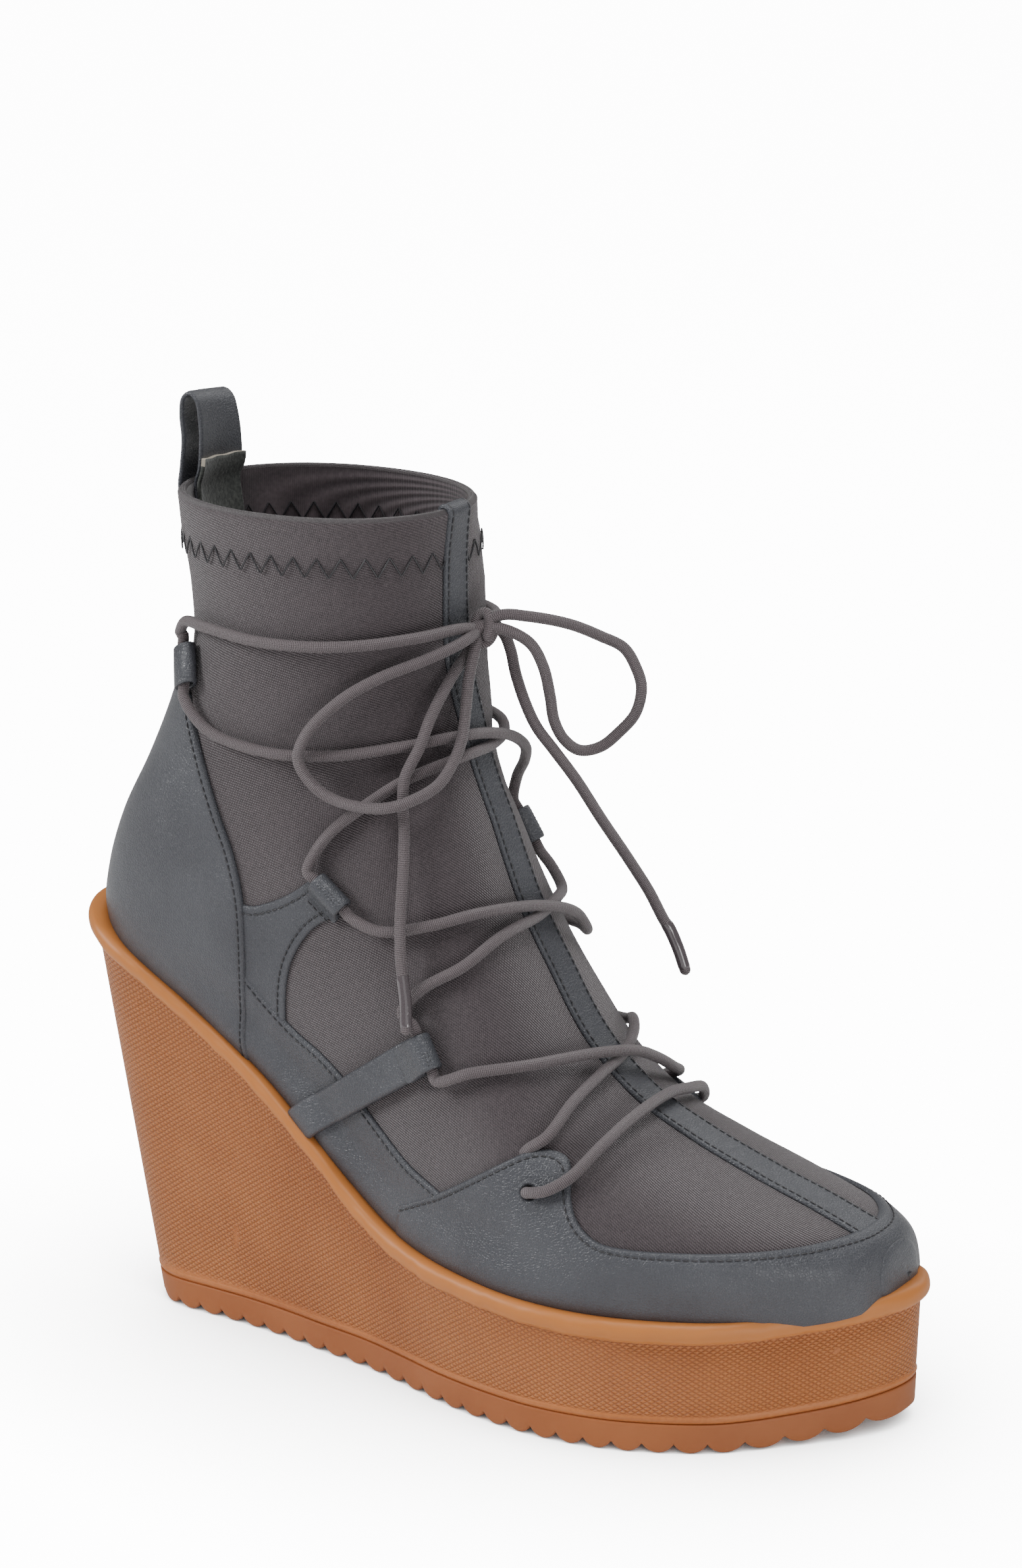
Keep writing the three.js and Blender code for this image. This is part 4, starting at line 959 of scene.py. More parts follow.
@dataclass(frozen=True)
class Bore:
    """Hole of a lace loop: its upper and lower end, and the face's outward direction there."""

    start: Array
    end: Array
    out: Array

    def axes(self, body: Array) -> Triple:
        """Directions along the bore, out of the face and to the flap that the loop ends."""
        axis = unit(self.end - self.start)
        up = unit(self.out - axis * (self.out @ axis))
        return axis, up, unit(body - axis * (body @ axis) - up * (body @ up))

    def way(self) -> list[Array]:
        """Straight way up through the loop."""
        more = (self.start - self.end) * 0.3
        return [self.end - more, self.end, self.start, self.start + more]


def swept(start: Array, axis: Array, side: Array, up: Array, rows: Sequence[tuple[float, Array]]) -> Triple:
    """Ring-shaped solid through flat sections.

    Args:
        start: Place of the first section.
        axis: Direction along the bore.
        side: Direction of the sections' first numbers.
        up: Direction of their second numbers.
        rows: Distance along the axis and flat points of each section, back to the first.

    Returns:
        Points, faces and pattern places.
    """
    points = np.vstack([start + axis * along + side * flat[:, :1] + up * flat[:, 1:] for along, flat in rows])
    faces = grid_faces(len(rows) + 1, len(rows[0][1]), closed=True) % len(points)
    if np.dot(np.cross(side, up), axis) < 0:
        faces = faces[:, ::-1]
    return points, faces, np.stack([points @ axis, points @ side], axis=1)


def drop_sleeve(bore: Bore, body: Array, reach: float, thick: float) -> Triple:
    """Leather folded round a lace and back on itself, as a drop-shaped tube.

    Args:
        bore: Hole for the lace.
        body: Direction from the bore to the flap.
        reach: Length of the drop from the axis towards the flap.
        thick: Thickness of the drop's thin end.

    Returns:
        Points, faces and pattern places.
    """
    axis, up, side = bore.axes(body)
    radius = SLEEVE_BORE + SLEEVE_LEATHER
    angles = np.radians(np.linspace(75, 285, 34))
    arc = np.stack([np.cos(angles) * radius, np.sin(angles) * radius], axis=1)
    blend = np.linspace(0, 1, 9)[1:]
    upper = np.stack([arc[0, 0] + (reach - arc[0, 0]) * blend,
                      arc[0, 1] + (thick - radius - arc[0, 1]) * (blend * blend * (3 - 2 * blend))], axis=1)
    lower = np.stack([arc[-1, 0] + (reach - arc[-1, 0]) * blend, np.full(8, -radius)], axis=1)
    outline = np.vstack([arc, lower, upper[::-1]])
    hole = np.unwrap(np.arctan2(outline[:, 1], outline[:, 0]))
    inner = np.stack([np.cos(hole), np.sin(hole)], axis=1) * SLEEVE_BORE
    away = outline - inner
    gap = np.linalg.norm(away, axis=1, keepdims=True)
    length = np.linalg.norm(bore.end - bore.start)
    stops = [(0.0, 0.55), (0.1, 0.25), (0.35, 0.06), (0.8, 0.0)]
    stops += [(length / 2, 0.0)] + [(length - s, g) for s, g in stops[::-1]]
    rows = [(along, outline - away / gap * np.minimum(shrink, gap * 0.4)) for along, shrink in stops]
    rows += [(along, inner * (1 + shrink * 0.25 / SLEEVE_BORE)) for along, shrink in stops[::-1]]
    return swept(bore.start, axis, side, up, rows)


# Edges and bores: share of the length, share of the height over the rim.
EYELET = (0.644, 0.203)
EYELET_RADIUS = 1.9
BOW_SHIFT = np.array([1.0, 0.0, 2.2])
BOW_SIZE = 50
COUNTER_EDGE = (
    (0.164, 0.668), (0.189, 0.587), (0.213, 0.492), (0.23, 0.433), (0.242, 0.362), (0.244, 0.265),
    (0.24, 0.155), (0.234, 0.064), (0.238, -0.06),
)
COUNTER_TOP = ((0.135, 0.655), (0.1, 0.64), (0.05, 0.6), (-0.1, 0.6))
TAB_UPPER_EDGE = ((0.2, 0.34), (0.246, 0.352), (0.278, 0.406), (0.311, 0.48), (0.335, 0.545))
TAB_LOWER_EDGE = ((0.362, 0.515), (0.335, 0.44), (0.311, 0.35), (0.299, 0.277), (0.291, 0.15))
QUARTER_EDGE = (
    (0.2, 0.215), (0.242, 0.2), (0.27, 0.185), (0.307, 0.182), (0.343, 0.198), (0.376, 0.21),
    (0.409, 0.2), (0.445, 0.182), (0.474, 0.163), (0.526, 0.139), (0.57, 0.1),
)
MUDGUARD_EDGE = (
    (0.395, -0.01), (0.437, 0.036), (0.47, 0.077), (0.526, 0.146), (0.571, 0.201), (0.608, 0.246),
    (0.632, 0.271), (0.652, 0.277), (0.673, 0.265), (0.683, 0.24), (0.691, 0.205), (0.705, 0.169),
    (0.73, 0.142), (0.77, 0.135), (0.811, 0.135), (0.904, 0.131), (1.1, 0.12),
)
STRAP_CORNERS = ((0.291, -0.01), (0.326, -0.01), (0.5215, 0.402), (0.492, 0.44))
STRAP_BORE = ((0.488, 0.43), (0.511, 0.377))
KEEPER_SINK = np.array([0.0, 0.45])
KEEPER_BORE = ((0.1585, 0.749), (0.1705, 0.691))
STRIP_LINE = (  # share of the length, aside
    (0.3, -0.05), (0.45, 0), (0.5, 0.25), (0.57, 0.42), (0.66, 0.5), (0.8, 0.63), (1, 0.63),
)
# Lace: section, turn in degrees, lift in lace widths.
BAR_RUN = (
    (6.3, 64, 1.2), (6, 54, 1.2), (5.78, 34, 1.1), (5.7, 14, 1.2), (5.7, -6, 1.3),
    (5.7, -21, 1.1), (5.85, -40, 1.1), (6.15, -60, 1.1),
)
TOE_TO_INNER_STRAP = (
    (6.56, 47, 0.9), (6.48, 28, 0.9), (6.47, 10, 1), (6.56, -5, 1.1), (6.8, -18, 1.2), (7.1, -30, 1),
    (7.65, -56, 0.7),
)
TOE_TO_OUTER_STRAP = (
    (6.35, -44, 0.9), (6.2, -30, 1.1), (6.3, -16, 1.7), (6.47, -5, 2.15), (6.72, 6, 1.6), (7.32, 36, 0.9),
    (8.12, 61, 0.9),
)
STRAP_TO_INNER_TAB = (
    (9.85, 77, 0.9), (9.7, 66, 0.8), (9.15, 44, 0.8), (8.9, 22, 0.9), (8.8, 0, 1.1), (9, -14, 1.1),
    (9.3, -28, 1), (9.9, -39, 1),
)
STRAP_TO_OUTER_TAB = (
    (9.95, -76, 1.1), (9.7, -64, 1.2), (9, -47, 1.2), (8.5, -32, 1.3), (8.65, -17, 1.8), (8.95, 0, 1.6),
    (9.55, 28, 0.9), (10.2, 52, 0.8), (10.9, 72, 0.9),
)
TAB_TO_INNER_KEEPER = (
    (12.85, 74, 0.8), (13.1, 66, 0.75), (13.25, 55, 0.75), (13.4, 38, 0.8), (13.35, 16, 1.05),
    (13.4, -4, 1), (13.75, -17, 1.1), (14.5, -31, 0.8), (15.4, -54, 0.8), (16.5, -84, 0.8),
    (17.6, -108, 0.9),
)
TAB_TO_OUTER_KEEPER = (
    (12.2, -42, 1.8), (12.55, -32, 2.3), (13.05, -23, 2.5), (13.55, -14, 2), (13.9, -2, 1.35),
    (14.2, 14, 1.1), (14.65, 34, 0.8), (15.3, 58, 0.75), (16.1, 80, 0.75), (17.2, 105, 0.8),
)
KEEPER_TO_KNOT = (
    (19.15, 141, 1.3), (19.4, 136, 1.1), (19.3, 118, 0.8), (18.9, 92, 0.75), (18.5, 70, 0.75),
    (18.15, 48, 0.8), (17.9, 24, 1.1), (17.85, 8, 1.7),
)
OUTER_LOOP = (
    (17.5, 8, 2.4), (17.25, 22, 1.7), (17.1, 42, 1.1), (16.85, 56, 1.2), (16.3, 66, 1.8), (15.7, 68, 2),
    (15, 65, 2), (14.2, 60, 2), (13.3, 54, 2.2), (12.85, 46, 2.7), (12.7, 38, 2.8), (12.8, 28, 2.5),
    (13.3, 20, 2.3), (14.1, 15, 2.2), (15.1, 10, 1.9), (16.1, 6, 2), (16.9, 3, 2.3),
)
OUTER_END = (
    (17.6, -5, 1.4), (16.9, 1, 1.2), (16.3, 11, 1.2), (15.3, 24, 1.7), (14.5, 30, 2), (13.4, 37, 1.9),
    (12.8, 41, 1.6), (12.2, 45, 1.3), (11.4, 53, 1.4), (10.7, 62, 2), (10.35, 66, 2.1),
    (10.15, 68, 2.1), (9.75, 71, 2.2), (9.5, 74, 2.4),
)
INNER_LOOP = (  # ahead, aside, above
    (0.1, 0.02, 0.04), (0.23, 0.11, 0.03), (0.39, 0.28, -0.03), (0.51, 0.41, -0.11),
    (0.61, 0.49, -0.18), (0.67, 0.52, -0.29), (0.7, 0.53, -0.4), (0.67, 0.52, -0.55),
    (0.59, 0.48, -0.66), (0.51, 0.41, -0.74), (0.43, 0.32, -0.75), (0.37, 0.25, -0.68),
    (0.33, 0.21, -0.57), (0.32, 0.18, -0.42), (0.3, 0.14, -0.25), (0.25, 0.08, -0.11), (0.13, 0, -0.03),
)
INNER_END = (  # ahead, aside, above
    (0, 0.07, -0.03), (0.05, 0.13, -0.09), (0.09, 0.14, -0.18), (0.13, 0.13, -0.31), (0.2, 0.12, -0.47),
    (0.26, 0.14, -0.6), (0.34, 0.19, -0.73), (0.44, 0.27, -0.91), (0.54, 0.37, -1.14),
    (0.65, 0.48, -1.38), (0.75, 0.55, -1.58), (0.82, 0.59, -1.74), (0.85, 0.61, -1.8),
    (0.9, 0.62, -1.91), (0.94, 0.63, -2.03),
)
PULL_LINE = (  # ahead, rise
    (-0.03, 0.2), (0, 0.5), (-0.02, 0.76), (0.01, 0.94), (0.1, 1), (0.19, 0.93), (0.23, 0.74),
    (0.24, 0.48), (0.21, 0.18),
)
TAB_BORE = {
    Side.LATERAL: ((0.348, 0.568), (0.3835, 0.572)),
    Side.MEDIAL: ((0.453, 0.742), (0.474, 0.692)),
}


@dataclass(frozen=True)
class Finishes:
    """Materials of the boot."""

    fabric: Material
    lining: Material
    leather: Material
    flesh: Material
    raw_edge: Material
    gum: Material
    tread: Material
    lace: Material
    film: Material
    thread: Material


def add_node(tree: bpy.types.NodeTree, kind: str, **values: object) -> bpy.types.Node:
    """Add a node with attributes and input values.

    Args:
        tree: Tree that the node joins.
        kind: Blender type of the node.
        values: Attributes; those that start with in_ set an input by its name or number.

    Returns:
        The node.
    """
    made = tree.nodes.new(kind)
    for key, value in values.items():
        if key.startswith("in_"):
            name = key[3:].replace("_", " ")
            made.inputs[int(name) if name.isdigit() else name].default_value = value
        else:
            setattr(made, key, value)
    return made


class Paint:
    """Small helper that builds a node material."""

    def __init__(self, name: str, roughness: float, **fixed: float) -> None:
        """Start a material with constant shader sockets."""
        self.material = bpy.data.materials.new(name)
        self.material.use_nodes = True
        self.tree = self.material.node_tree
        self.shader = self.tree.nodes["Principled BSDF"]
        self.shader.inputs["Roughness"].default_value = roughness
        for key, value in fixed.items():
            self.shader.inputs[key.replace("_", " ")].default_value = value

    def node(self, kind: str, **values: object) -> bpy.types.Node:
        """Add a node to the material, as add_node does."""
        return add_node(self.tree, kind, **values)

    def link(self, source: Socket, target: Socket) -> None:
        """Join two sockets."""
        self.tree.links.new(source, target)

    def place(self, kind: str = "Object") -> Socket:
        """Coordinates of the surface."""
        return self.node("ShaderNodeTexCoord").outputs[kind]

    def maths(self, operation: str, first: object, second: object = 0.0) -> Socket:
        """Sum of two values or sockets by an operation."""
        made = self.node("ShaderNodeMath", operation=operation)
        for k, value in enumerate((first, second)):
            if isinstance(value, (int, float)):
                made.inputs[k].default_value = value
            else:
                self.link(value, made.inputs[k])
        return made.outputs[0]

    def split(self, vector: Socket) -> tuple[Socket, ...]:
        """Parts of a vector."""
        made = self.node("ShaderNodeSeparateXYZ")
        self.link(vector, made.inputs[0])
        return tuple(made.outputs)

    def noise(self, vector: Socket, scale: float, detail: float = 2.0) -> Socket:
        """Noise value at a scale."""
        made = self.node("ShaderNodeTexNoise", in_Scale=scale, in_Detail=detail)
        self.link(vector, made.inputs["Vector"])
        return made.outputs[0]

    def blend(self, value: Socket, stops: Sequence[tuple[float, tuple[float, float, float]]]
              ) -> Socket:
        """Colour ramp over a value."""
        made = self.node("ShaderNodeValToRGB")
        ramp = made.color_ramp
        while len(ramp.elements) < len(stops):
            ramp.elements.new(0.5)
        for element, (spot, colour) in zip(ramp.elements, stops):
            element.position = spot
            element.color = (*colour, 1)
        self.link(value, made.inputs[0])
        return made.outputs[0]

    def bump(self, height: Socket, distance: float, strength: float = 1.0,
             below: Socket | None = None) -> Socket:
        """Bump of a height in metres, over another bump."""
        made = self.node("ShaderNodeBump", in_Strength=strength, in_Distance=distance)
        self.link(height, made.inputs["Height"])
        if below is not None:
            self.link(below, made.inputs["Normal"])
        return made.outputs[0]

    def finish(self, colour: object, normal: Socket | None = None) -> Material:
        """Set the base colour and normal.

        Args:
            colour: A colour or a socket.
            normal: A bump's output.

        Returns:
            The material.
        """
        base = self.shader.inputs["Base Color"]
        if isinstance(colour, tuple):
            base.default_value = (*colour, 1)
        else:
            self.link(colour, base)
        if normal is not None:
            self.link(normal, self.shader.inputs["Normal"])
        return self.material


def make_finishes() -> Finishes:
    """Build every material of the boot."""
    def pattern(paint: Paint) -> list[Socket]:
        parts = paint.split(paint.place("UV"))
        return [paint.maths("MULTIPLY", part, 1 / PATTERN_STEP) for part in parts[:2]]

    def wave(paint: Paint, value: Socket, pitch: float) -> Socket:
        return paint.maths("SINE", paint.maths("MULTIPLY", value, 2 * math.pi / pitch))

    fabric = Paint("StretchFabric", 0.72, Sheen_Weight=0.35, Sheen_Roughness=0.45, Specular_IOR_Level=0.35)
    rib, cross = pattern(fabric)
    ribs = wave(fabric, rib, 0.72)
    threads = wave(fabric, fabric.maths("ADD", cross, fabric.maths("MULTIPLY", rib, 0.5)), 0.62)
    weave = fabric.maths("ADD", ribs, fabric.maths("MULTIPLY", threads, 0.35))
    tint = fabric.maths("ADD", fabric.maths("MULTIPLY", weave, 0.15),
                        fabric.maths("MULTIPLY", fabric.noise(fabric.place(), 900, 3), 0.5))
    colour = fabric.blend(tint, ((0.0, (0.044, 0.034, 0.038)), (0.5, (0.1, 0.079, 0.086))))
    cloth = fabric.finish(colour, fabric.bump(weave, 0.00014, 1.0))

    lining = Paint("SockLining", 0.92, Sheen_Weight=0.3, Specular_IOR_Level=0.15)
    soft = lining.finish((0.05, 0.045, 0.046), lining.bump(lining.noise(lining.place(), 1400), 0.0001, 0.6))

    leather = Paint("GreyLeather", 0.37, Specular_IOR_Level=0.48, Coat_Weight=0.12, Coat_Roughness=0.3)
    grain = leather.node("ShaderNodeTexVoronoi", feature="DISTANCE_TO_EDGE", in_Scale=1250.0)
    leather.link(leather.place(), grain.inputs["Vector"])
    pores = leather.maths("MINIMUM", grain.outputs[0], 0.22)
    creases = leather.noise(leather.place(), 160, 5)
    cloudy = leather.noise(leather.place(), 38, 4)
    skin = leather.blend(cloudy, ((0.3, (0.05, 0.052, 0.061)), (0.7, (0.068, 0.071, 0.081))))
    relief = leather.bump(creases, 0.0007, 0.4, leather.bump(pores, 0.0005, 0.75))
    hide = leather.finish(skin, relief)

    flesh = Paint("FleshSide", 0.9, Sheen_Weight=0.35, Specular_IOR_Level=0.15)
    nap = flesh.noise(flesh.place(), 900, 6)
    raw = flesh.finish(flesh.blend(nap, ((0.35, (0.032, 0.036, 0.033)), (0.65, (0.072, 0.077, 0.069)))),
                       flesh.bump(nap, 0.0004, 0.7))

    gum = Paint("GumSole", 0.45, Specular_IOR_Level=0.4, Subsurface_Weight=0.06, Subsurface_Scale=0.004)
    along, high = pattern(gum)
    first = gum.maths("ADD", gum.maths("DIVIDE", along, 2.2), gum.maths("DIVIDE", high, 1.43))
    second = gum.maths("SUBTRACT", gum.maths("DIVIDE", along, 2.2), gum.maths("DIVIDE", high, 1.43))
    beads = gum.maths("MULTIPLY", wave(gum, first, 2.0), wave(gum, second, 2.0))
    parts = gum.node("ShaderNodeSeparateColor")
    gum.link(gum.node("ShaderNodeVertexColor", layer_name="wall").outputs[0], parts.inputs[0])
    body, rim = parts.outputs[0], parts.outputs[1]
    lumps = gum.maths("MULTIPLY", gum.maths("POWER", gum.maths("ABSOLUTE", beads), 0.7), body)
    # Painted shade: the wall's colour is darkened in the grooves between the raised lumps, where shade would
    # fall.
    groove_painted_shade = gum.maths("MULTIPLY", gum.maths("SUBTRACT", 0.5, lumps), gum.maths("MULTIPLY", body, 0.35))
    speck = gum.noise(gum.place(), 1100, 3)
    warm = gum.maths("ADD", gum.maths("MULTIPLY", gum.noise(gum.place(), 26, 3), 0.7),
                     gum.maths("MULTIPLY", speck, 0.3))
    # The painted groove shade is taken off the wall's tone here.
    warm = gum.maths("SUBTRACT", warm, groove_painted_shade)
    wall_colour_with_painted_shade = gum.blend(warm, ((0.2, (0.31, 0.09, 0.021)), (0.75, (0.53, 0.19, 0.058))))
    rim_mix = gum.node("ShaderNodeMix", data_type="RGBA")
    gum.link(rim, rim_mix.inputs[0])
    gum.link(wall_colour_with_painted_shade, rim_mix.inputs[6])
    rim_mix.inputs[7].default_value = (0.5, 0.178, 0.043, 1)
    rubber = gum.finish(rim_mix.outputs[2], gum.bump(speck, 0.0002, 0.06, gum.bump(lumps, 0.0005, 1.0)))

    tread = Paint("GumTread", 0.52, Specular_IOR_Level=0.4, Subsurface_Weight=0.05, Subsurface_Scale=0.004)
    grit = tread.noise(tread.place(), 900, 3)
    smear = tread.blend(tread.noise(tread.place(), 40, 3),
                        ((0.3, (0.31, 0.095, 0.026)), (0.7, (0.37, 0.122, 0.037))))
    under = tread.finish(smear, tread.bump(grit, 0.0002, 0.12))

    lace = Paint("RoundLace", 0.44, Sheen_Weight=0.2, Specular_IOR_Level=0.5)
    far, turn = pattern(lace)
    wound = wave(lace, lace.maths("ADD", far, lace.maths("MULTIPLY", turn, 0.08)), 0.5)
    strands = wave(lace, turn, 0.5)
    sheath = lace.maths("ADD", wound, lace.maths("MULTIPLY", strands, 0.3))
    satin = lace.blend(lace.maths("ADD", lace.maths("MULTIPLY", sheath, 0.3), 0.5),
                       ((0.1, (0.052, 0.041, 0.045)), (0.9, (0.185, 0.15, 0.158))))
    cord = lace.finish(satin, lace.bump(sheath, 0.00012, 0.9))

    film = Paint("LaceFilm", 0.14, Specular_IOR_Level=0.6, Coat_Weight=0.6, Coat_Roughness=0.06)
    clear = film.finish((0.085, 0.07, 0.076), film.bump(film.noise(film.place(), 500), 0.0002, 0.25))

    thread = Paint("Thread", 0.34, Specular_IOR_Level=0.6)
    dark = thread.finish((0.021, 0.02, 0.023))
    edge = Paint("RawEdge", 0.8)
    cream = edge.finish((0.42, 0.38, 0.31))
    return Finishes(cloth, soft, hide, raw, cream, rubber, under, cord, clear, dark)


def stations(count: int) -> Array:
    """Places along the tread, closer at both ends."""
    k = np.arange(count) + 0.5
    return SOLE.length / 2 * (1 - np.cos(math.pi * k / count))


def closed_rings(rings: Sequence[Array]) -> tuple[Array, Array]:
    """Closed surface through rings of one length, with a ladder at each end.

    Args:
        rings: Rings from the bottom up.

    Returns:
        Points and faces.
    """
    count = len(rings[0])
    faces = grid_faces(len(rings), count, closed=True)
    first = ladder(range(count), True)
    last = ladder(range((len(rings) - 1) * count, len(rings) * count), False)
    return np.vstack(rings), np.vstack([faces, first, last])


WEDGE_FOOT = (  # above the tread, out
    (-0.5, -2.0), (0.1, -0.5), (0.4, -0.2), (0.8, 0.0), (1.1, 0.15), (1.5, 0.3), (1.8, 0.3), (2.1, 0.16),
    (2.3, 0.02),
)


def make_wedge(finish: Finishes, feather: Array) -> Piece:
    """Wedge with its ridge, textured wall, rounded rim and cup.

    Args:
        finish: Materials.
        feather: Closed plan line where the upper leaves the rim, as rows of x and y.

    Returns:
        The wedge.
    """
    x = stations(170)
    p = there_and_back(x)
    low, top = SOLE.toe_spring(p) + SOLE.outsole, SOLE.rim(p)
    ripple = 0.3 * np.sin(p * 0.42) + 0.22 * np.sin(p * 0.97 + 1) + 0.12 * np.sin(p * 1.7 + 2)
    rings = [SOLE.ring(x, low + up, out) for up, out in WEDGE_FOOT]
    wall_from = len(rings)
    for k in np.linspace(0.03, 0.985, 16):
        rings.append(SOLE.ring(x, (low + 2.3) * (1 - k) + (top - 0.1) * k, 0.0))
    wall_to = len(rings)
    for bend in np.radians(np.linspace(-80, 80, 13)):
        height = top + 3.0 + 3.0 * math.sin(bend) + ripple * math.cos(bend)
        rings.append(SOLE.ring(x, height, 0.1 + 2.3 * math.cos(bend)))
    rings.append(SOLE.ring(x, top + 5.95, -0.4))
    outline = rings[-1][:, :2]
    normals = SOLE.outline(x)[1]
    reach = feather_reach(outline, -normals, feather)
    last = rings[-1]
    for deeper, down in ((0.9, 0.3), (1.1, 1.2), (1.2, 5.0)):
        moved = last.copy()
        moved[:, :2] = outline - normals * (reach + deeper)[:, None]
        moved[:, 2] = last[:, 2] - down
        rings.append(moved)
    points, faces = closed_rings(rings)
    count = len(x) * 2
    places = np.stack([np.tile(distances(rings[wall_from]), len(rings)), points[:, 2]], axis=1)
    wedge = make_object("Wedge", points, faces, finish.gum, places)
    wall = np.zeros((len(points), 2))
    wall[wall_from * count:wall_to * count, 0] = 1.0
    wall[::count, 0] = wall[count - 1::count, 0] = 0.0  # plain where the pattern's ends meet
    wall[wall_to * count:, 1] = 1.0
    paint_wall(wedge, points, wall)
    return dress(wedge, "gum_sole", "wedge")


def feather_reach(outline: Array, ways: Array, feather: Array) -> Array:
    """Distance from each rim point along its way to the feather line.

    Args:
        outline: Rows of x and y on the rim.
        ways: Directions inward.
        feather: Closed line of x and y.

    Returns:
        Distances, smoothed, in millimetres.
    """
    a, d = feather[:-1], np.diff(feather, axis=0)
    gap = a[None] - outline[:, None]
    cross = ways[:, None, 0] * d[None, :, 1] - ways[:, None, 1] * d[None, :, 0]
    cross = np.where(np.abs(cross) < 1e-9, 1e-9, cross)
    t = (gap[..., 0] * d[None, :, 1] - gap[..., 1] * d[None, :, 0]) / cross
    u = (gap[..., 0] * ways[:, None, 1] - gap[..., 1] * ways[:, None, 0]) / cross
    t = np.where((u >= -0.01) & (u <= 1.01) & (t > -3), t, 99).min(axis=1)
    lost = t > 15
    places = np.arange(len(t))
    t[lost] = np.interp(places[lost], places[~lost], t[~lost])
    return t


def paint_wall(piece: Piece, points: Array, values: Array) -> None:
    """Write two values for each made point as the vertex colour named wall."""
    mesh = piece.data
    layer = mesh.color_attributes.new("wall", "FLOAT_COLOR", "POINT")
    table = {tuple(np.round(row, 5)): value for row, value in zip(metres(points), values)}
    for k, vertex in enumerate(mesh.vertices):
        first, second = table.get(tuple(np.round(np.array(vertex.co), 5)), (0.0, 0.0))
        layer.data[k].color = (first, second, 0.0, 1.0)


def make_outsole(finish: Finishes) -> Piece:
    """Tread band with rounded scallops."""
    pitch, offset, depth = 7.9, -0.35 * 7.9, 2.6
    x = np.unique(np.concatenate([stations(60), np.arange(0.3, SOLE.length - 0.3, 0.42)]))
    x = x[np.concatenate([[True], np.diff(x) > 0.1])]

    p = there_and_back(x)
    off = np.abs(((p - offset) / pitch) % 1 * 2 - 1) * pitch / 2
    radius = (pitch * pitch / 4 + depth * depth) / (2 * depth)
    bottom = SOLE.toe_spring(p) + (radius - np.sqrt(radius * radius - off * off))
    top = SOLE.toe_spring(p) + SOLE.outsole
    rows = [(bottom, -1.3), (bottom, -0.5), (bottom + 0.12, -0.12), (bottom + 0.4, 0.1), (bottom + 0.9, 0.2)]
    rows += [((bottom + 0.9) * (1 - k) + (top - 0.5) * k, 0.2) for k in (0.35, 0.7, 0.9)]
    rows += [(top - 0.3, 0.2), (top - 0.05, 0.12), (top + 0.05, -0.2), (top + 0.05, -1.5)]
    rings = [SOLE.ring(x, height, out) for height, out in rows]
    points, faces = closed_rings(rings)
    places = np.stack([points[:, 0], points[:, 2]], axis=1)
    return dress(make_object("Outsole", points, faces, finish.tread, places), "gum_tread", "outsole")


def rib_place(sections: Array, turns: Array) -> Array:
    """Pattern places of the twill, read off each half of the fabric laid flat in side view.

    Args:
        sections: Rows of the sock.
        turns: Columns of the sock, from 0 all the way round.

    Returns:
        Places across and along the ribs for each row and column.
    """
    last = FOOT.last
    face_at = np.where(sections > last + 1, 2 * last + 1 - sections, np.minimum(sections, last))
    extra = np.where(sections > last, (sections - last) * COLLAR_STEP, 0.0)
    s, t = np.meshgrid(face_at, turns, indexing="ij")
    point = FOOT.face(s, t)
    steps = np.linalg.norm(np.diff(point, axis=1), axis=2)
    far = np.concatenate([np.zeros((len(sections), 1)), np.cumsum(steps, axis=1)], axis=1)
    middles = [np.abs(turns - angle).argmin() for angle in (math.pi / 2, 3 * math.pi / 2)]
    half = len(turns) // 2
    flat = np.empty((len(sections), len(turns), 2))
    top, foot = point[:, 0, [0, 2]], point[:, half, [0, 2]]
    way = unit(top - foot)[:, None]
    for columns, middle, sign in ((slice(0, half + 1), middles[0], -1), (slice(half, None), middles[1], 1)):
        arc = (far[:, columns] - far[:, middle:middle + 1]) * sign
        flat[:, columns] = point[:, middle, None, :][..., [0, 2]] + way * arc[..., None]
    x, z = flat[..., 0], flat[..., 1] + extra[:, None]
    steep = np.clip(x - 70, 0, None)
    tilted = 0.22 * x + 0.00225 * steep * steep + 0.0022 * np.clip(55 - x, 0, None) ** 2
    outside = (sections <= last + 0.5)[:, None]
    across = np.where(outside, z + tilted, z * 0.6)
    return np.stack([across, x - 0.3 * z], axis=-1)


def make_upper(finish: Finishes) -> Array:
    """Make the fabric sock with its folded collar and inner face.

    Args:
        finish: Materials.

    Returns:
        The plan line where the upper leaves the rim.
    """
    last = FOOT.last
    outside = np.concatenate([np.linspace(-1, 0, 7)[:-1], np.linspace(0, last, last * 6 + 1)])
    edge = last + np.linspace(0, 1, 9)[1:]
    inside = 2 * last + 1 - outside[::-1][1:]
    sections = np.concatenate([outside, edge, inside])
    turns = warped(181)
    s, t = np.meshgrid(sections, turns, indexing="ij")
    point, normal = sock(s, t)
    drop = FOOT.face(np.full(s.shape, float(last)), t)[..., 2] - point[..., 2]
    band = 1 - smooth(HEM - 1.2, HEM + 1.6, drop)
    pucker = 0.12 * np.sin(np.linspace(0, 36 * math.pi, len(turns))) * np.exp(-(((drop - HEM) / 3) ** 2))
    point = point + normal * ((0.35 * band + pucker) * (s <= last))[..., None]
    rim = point[..., 2] - SOLE.rim_top(point[..., 0])
    inner = np.where(s > last + 1, 1.0, 0.0)
    patch = Patch({"place": point.reshape(-1, 3), "rib": rib_place(sections, turns).reshape(-1, 2),
                   "rim": rim.reshape(-1), "inner": inner.reshape(-1)},
                  grid_triangles(len(sections), len(turns)))
    line = patch.copy()
    chain = max((c for c in line.cut("rim", 0.0) if line.get("inner")[c].max() < 0.5), key=len)
    feather = line.get("place")[chain][:, :2]
    patch.cut("rim", -FABRIC_TUCK)
    faces = np.hstack([patch.triangles, patch.triangles[:, 2:]])
    upper = make_object("Upper", patch.get("place"), faces, finish.fabric, patch.get("rib"))
    close_bottom(upper)
    dress(upper, "stretch_fabric", "upper")
    return feather


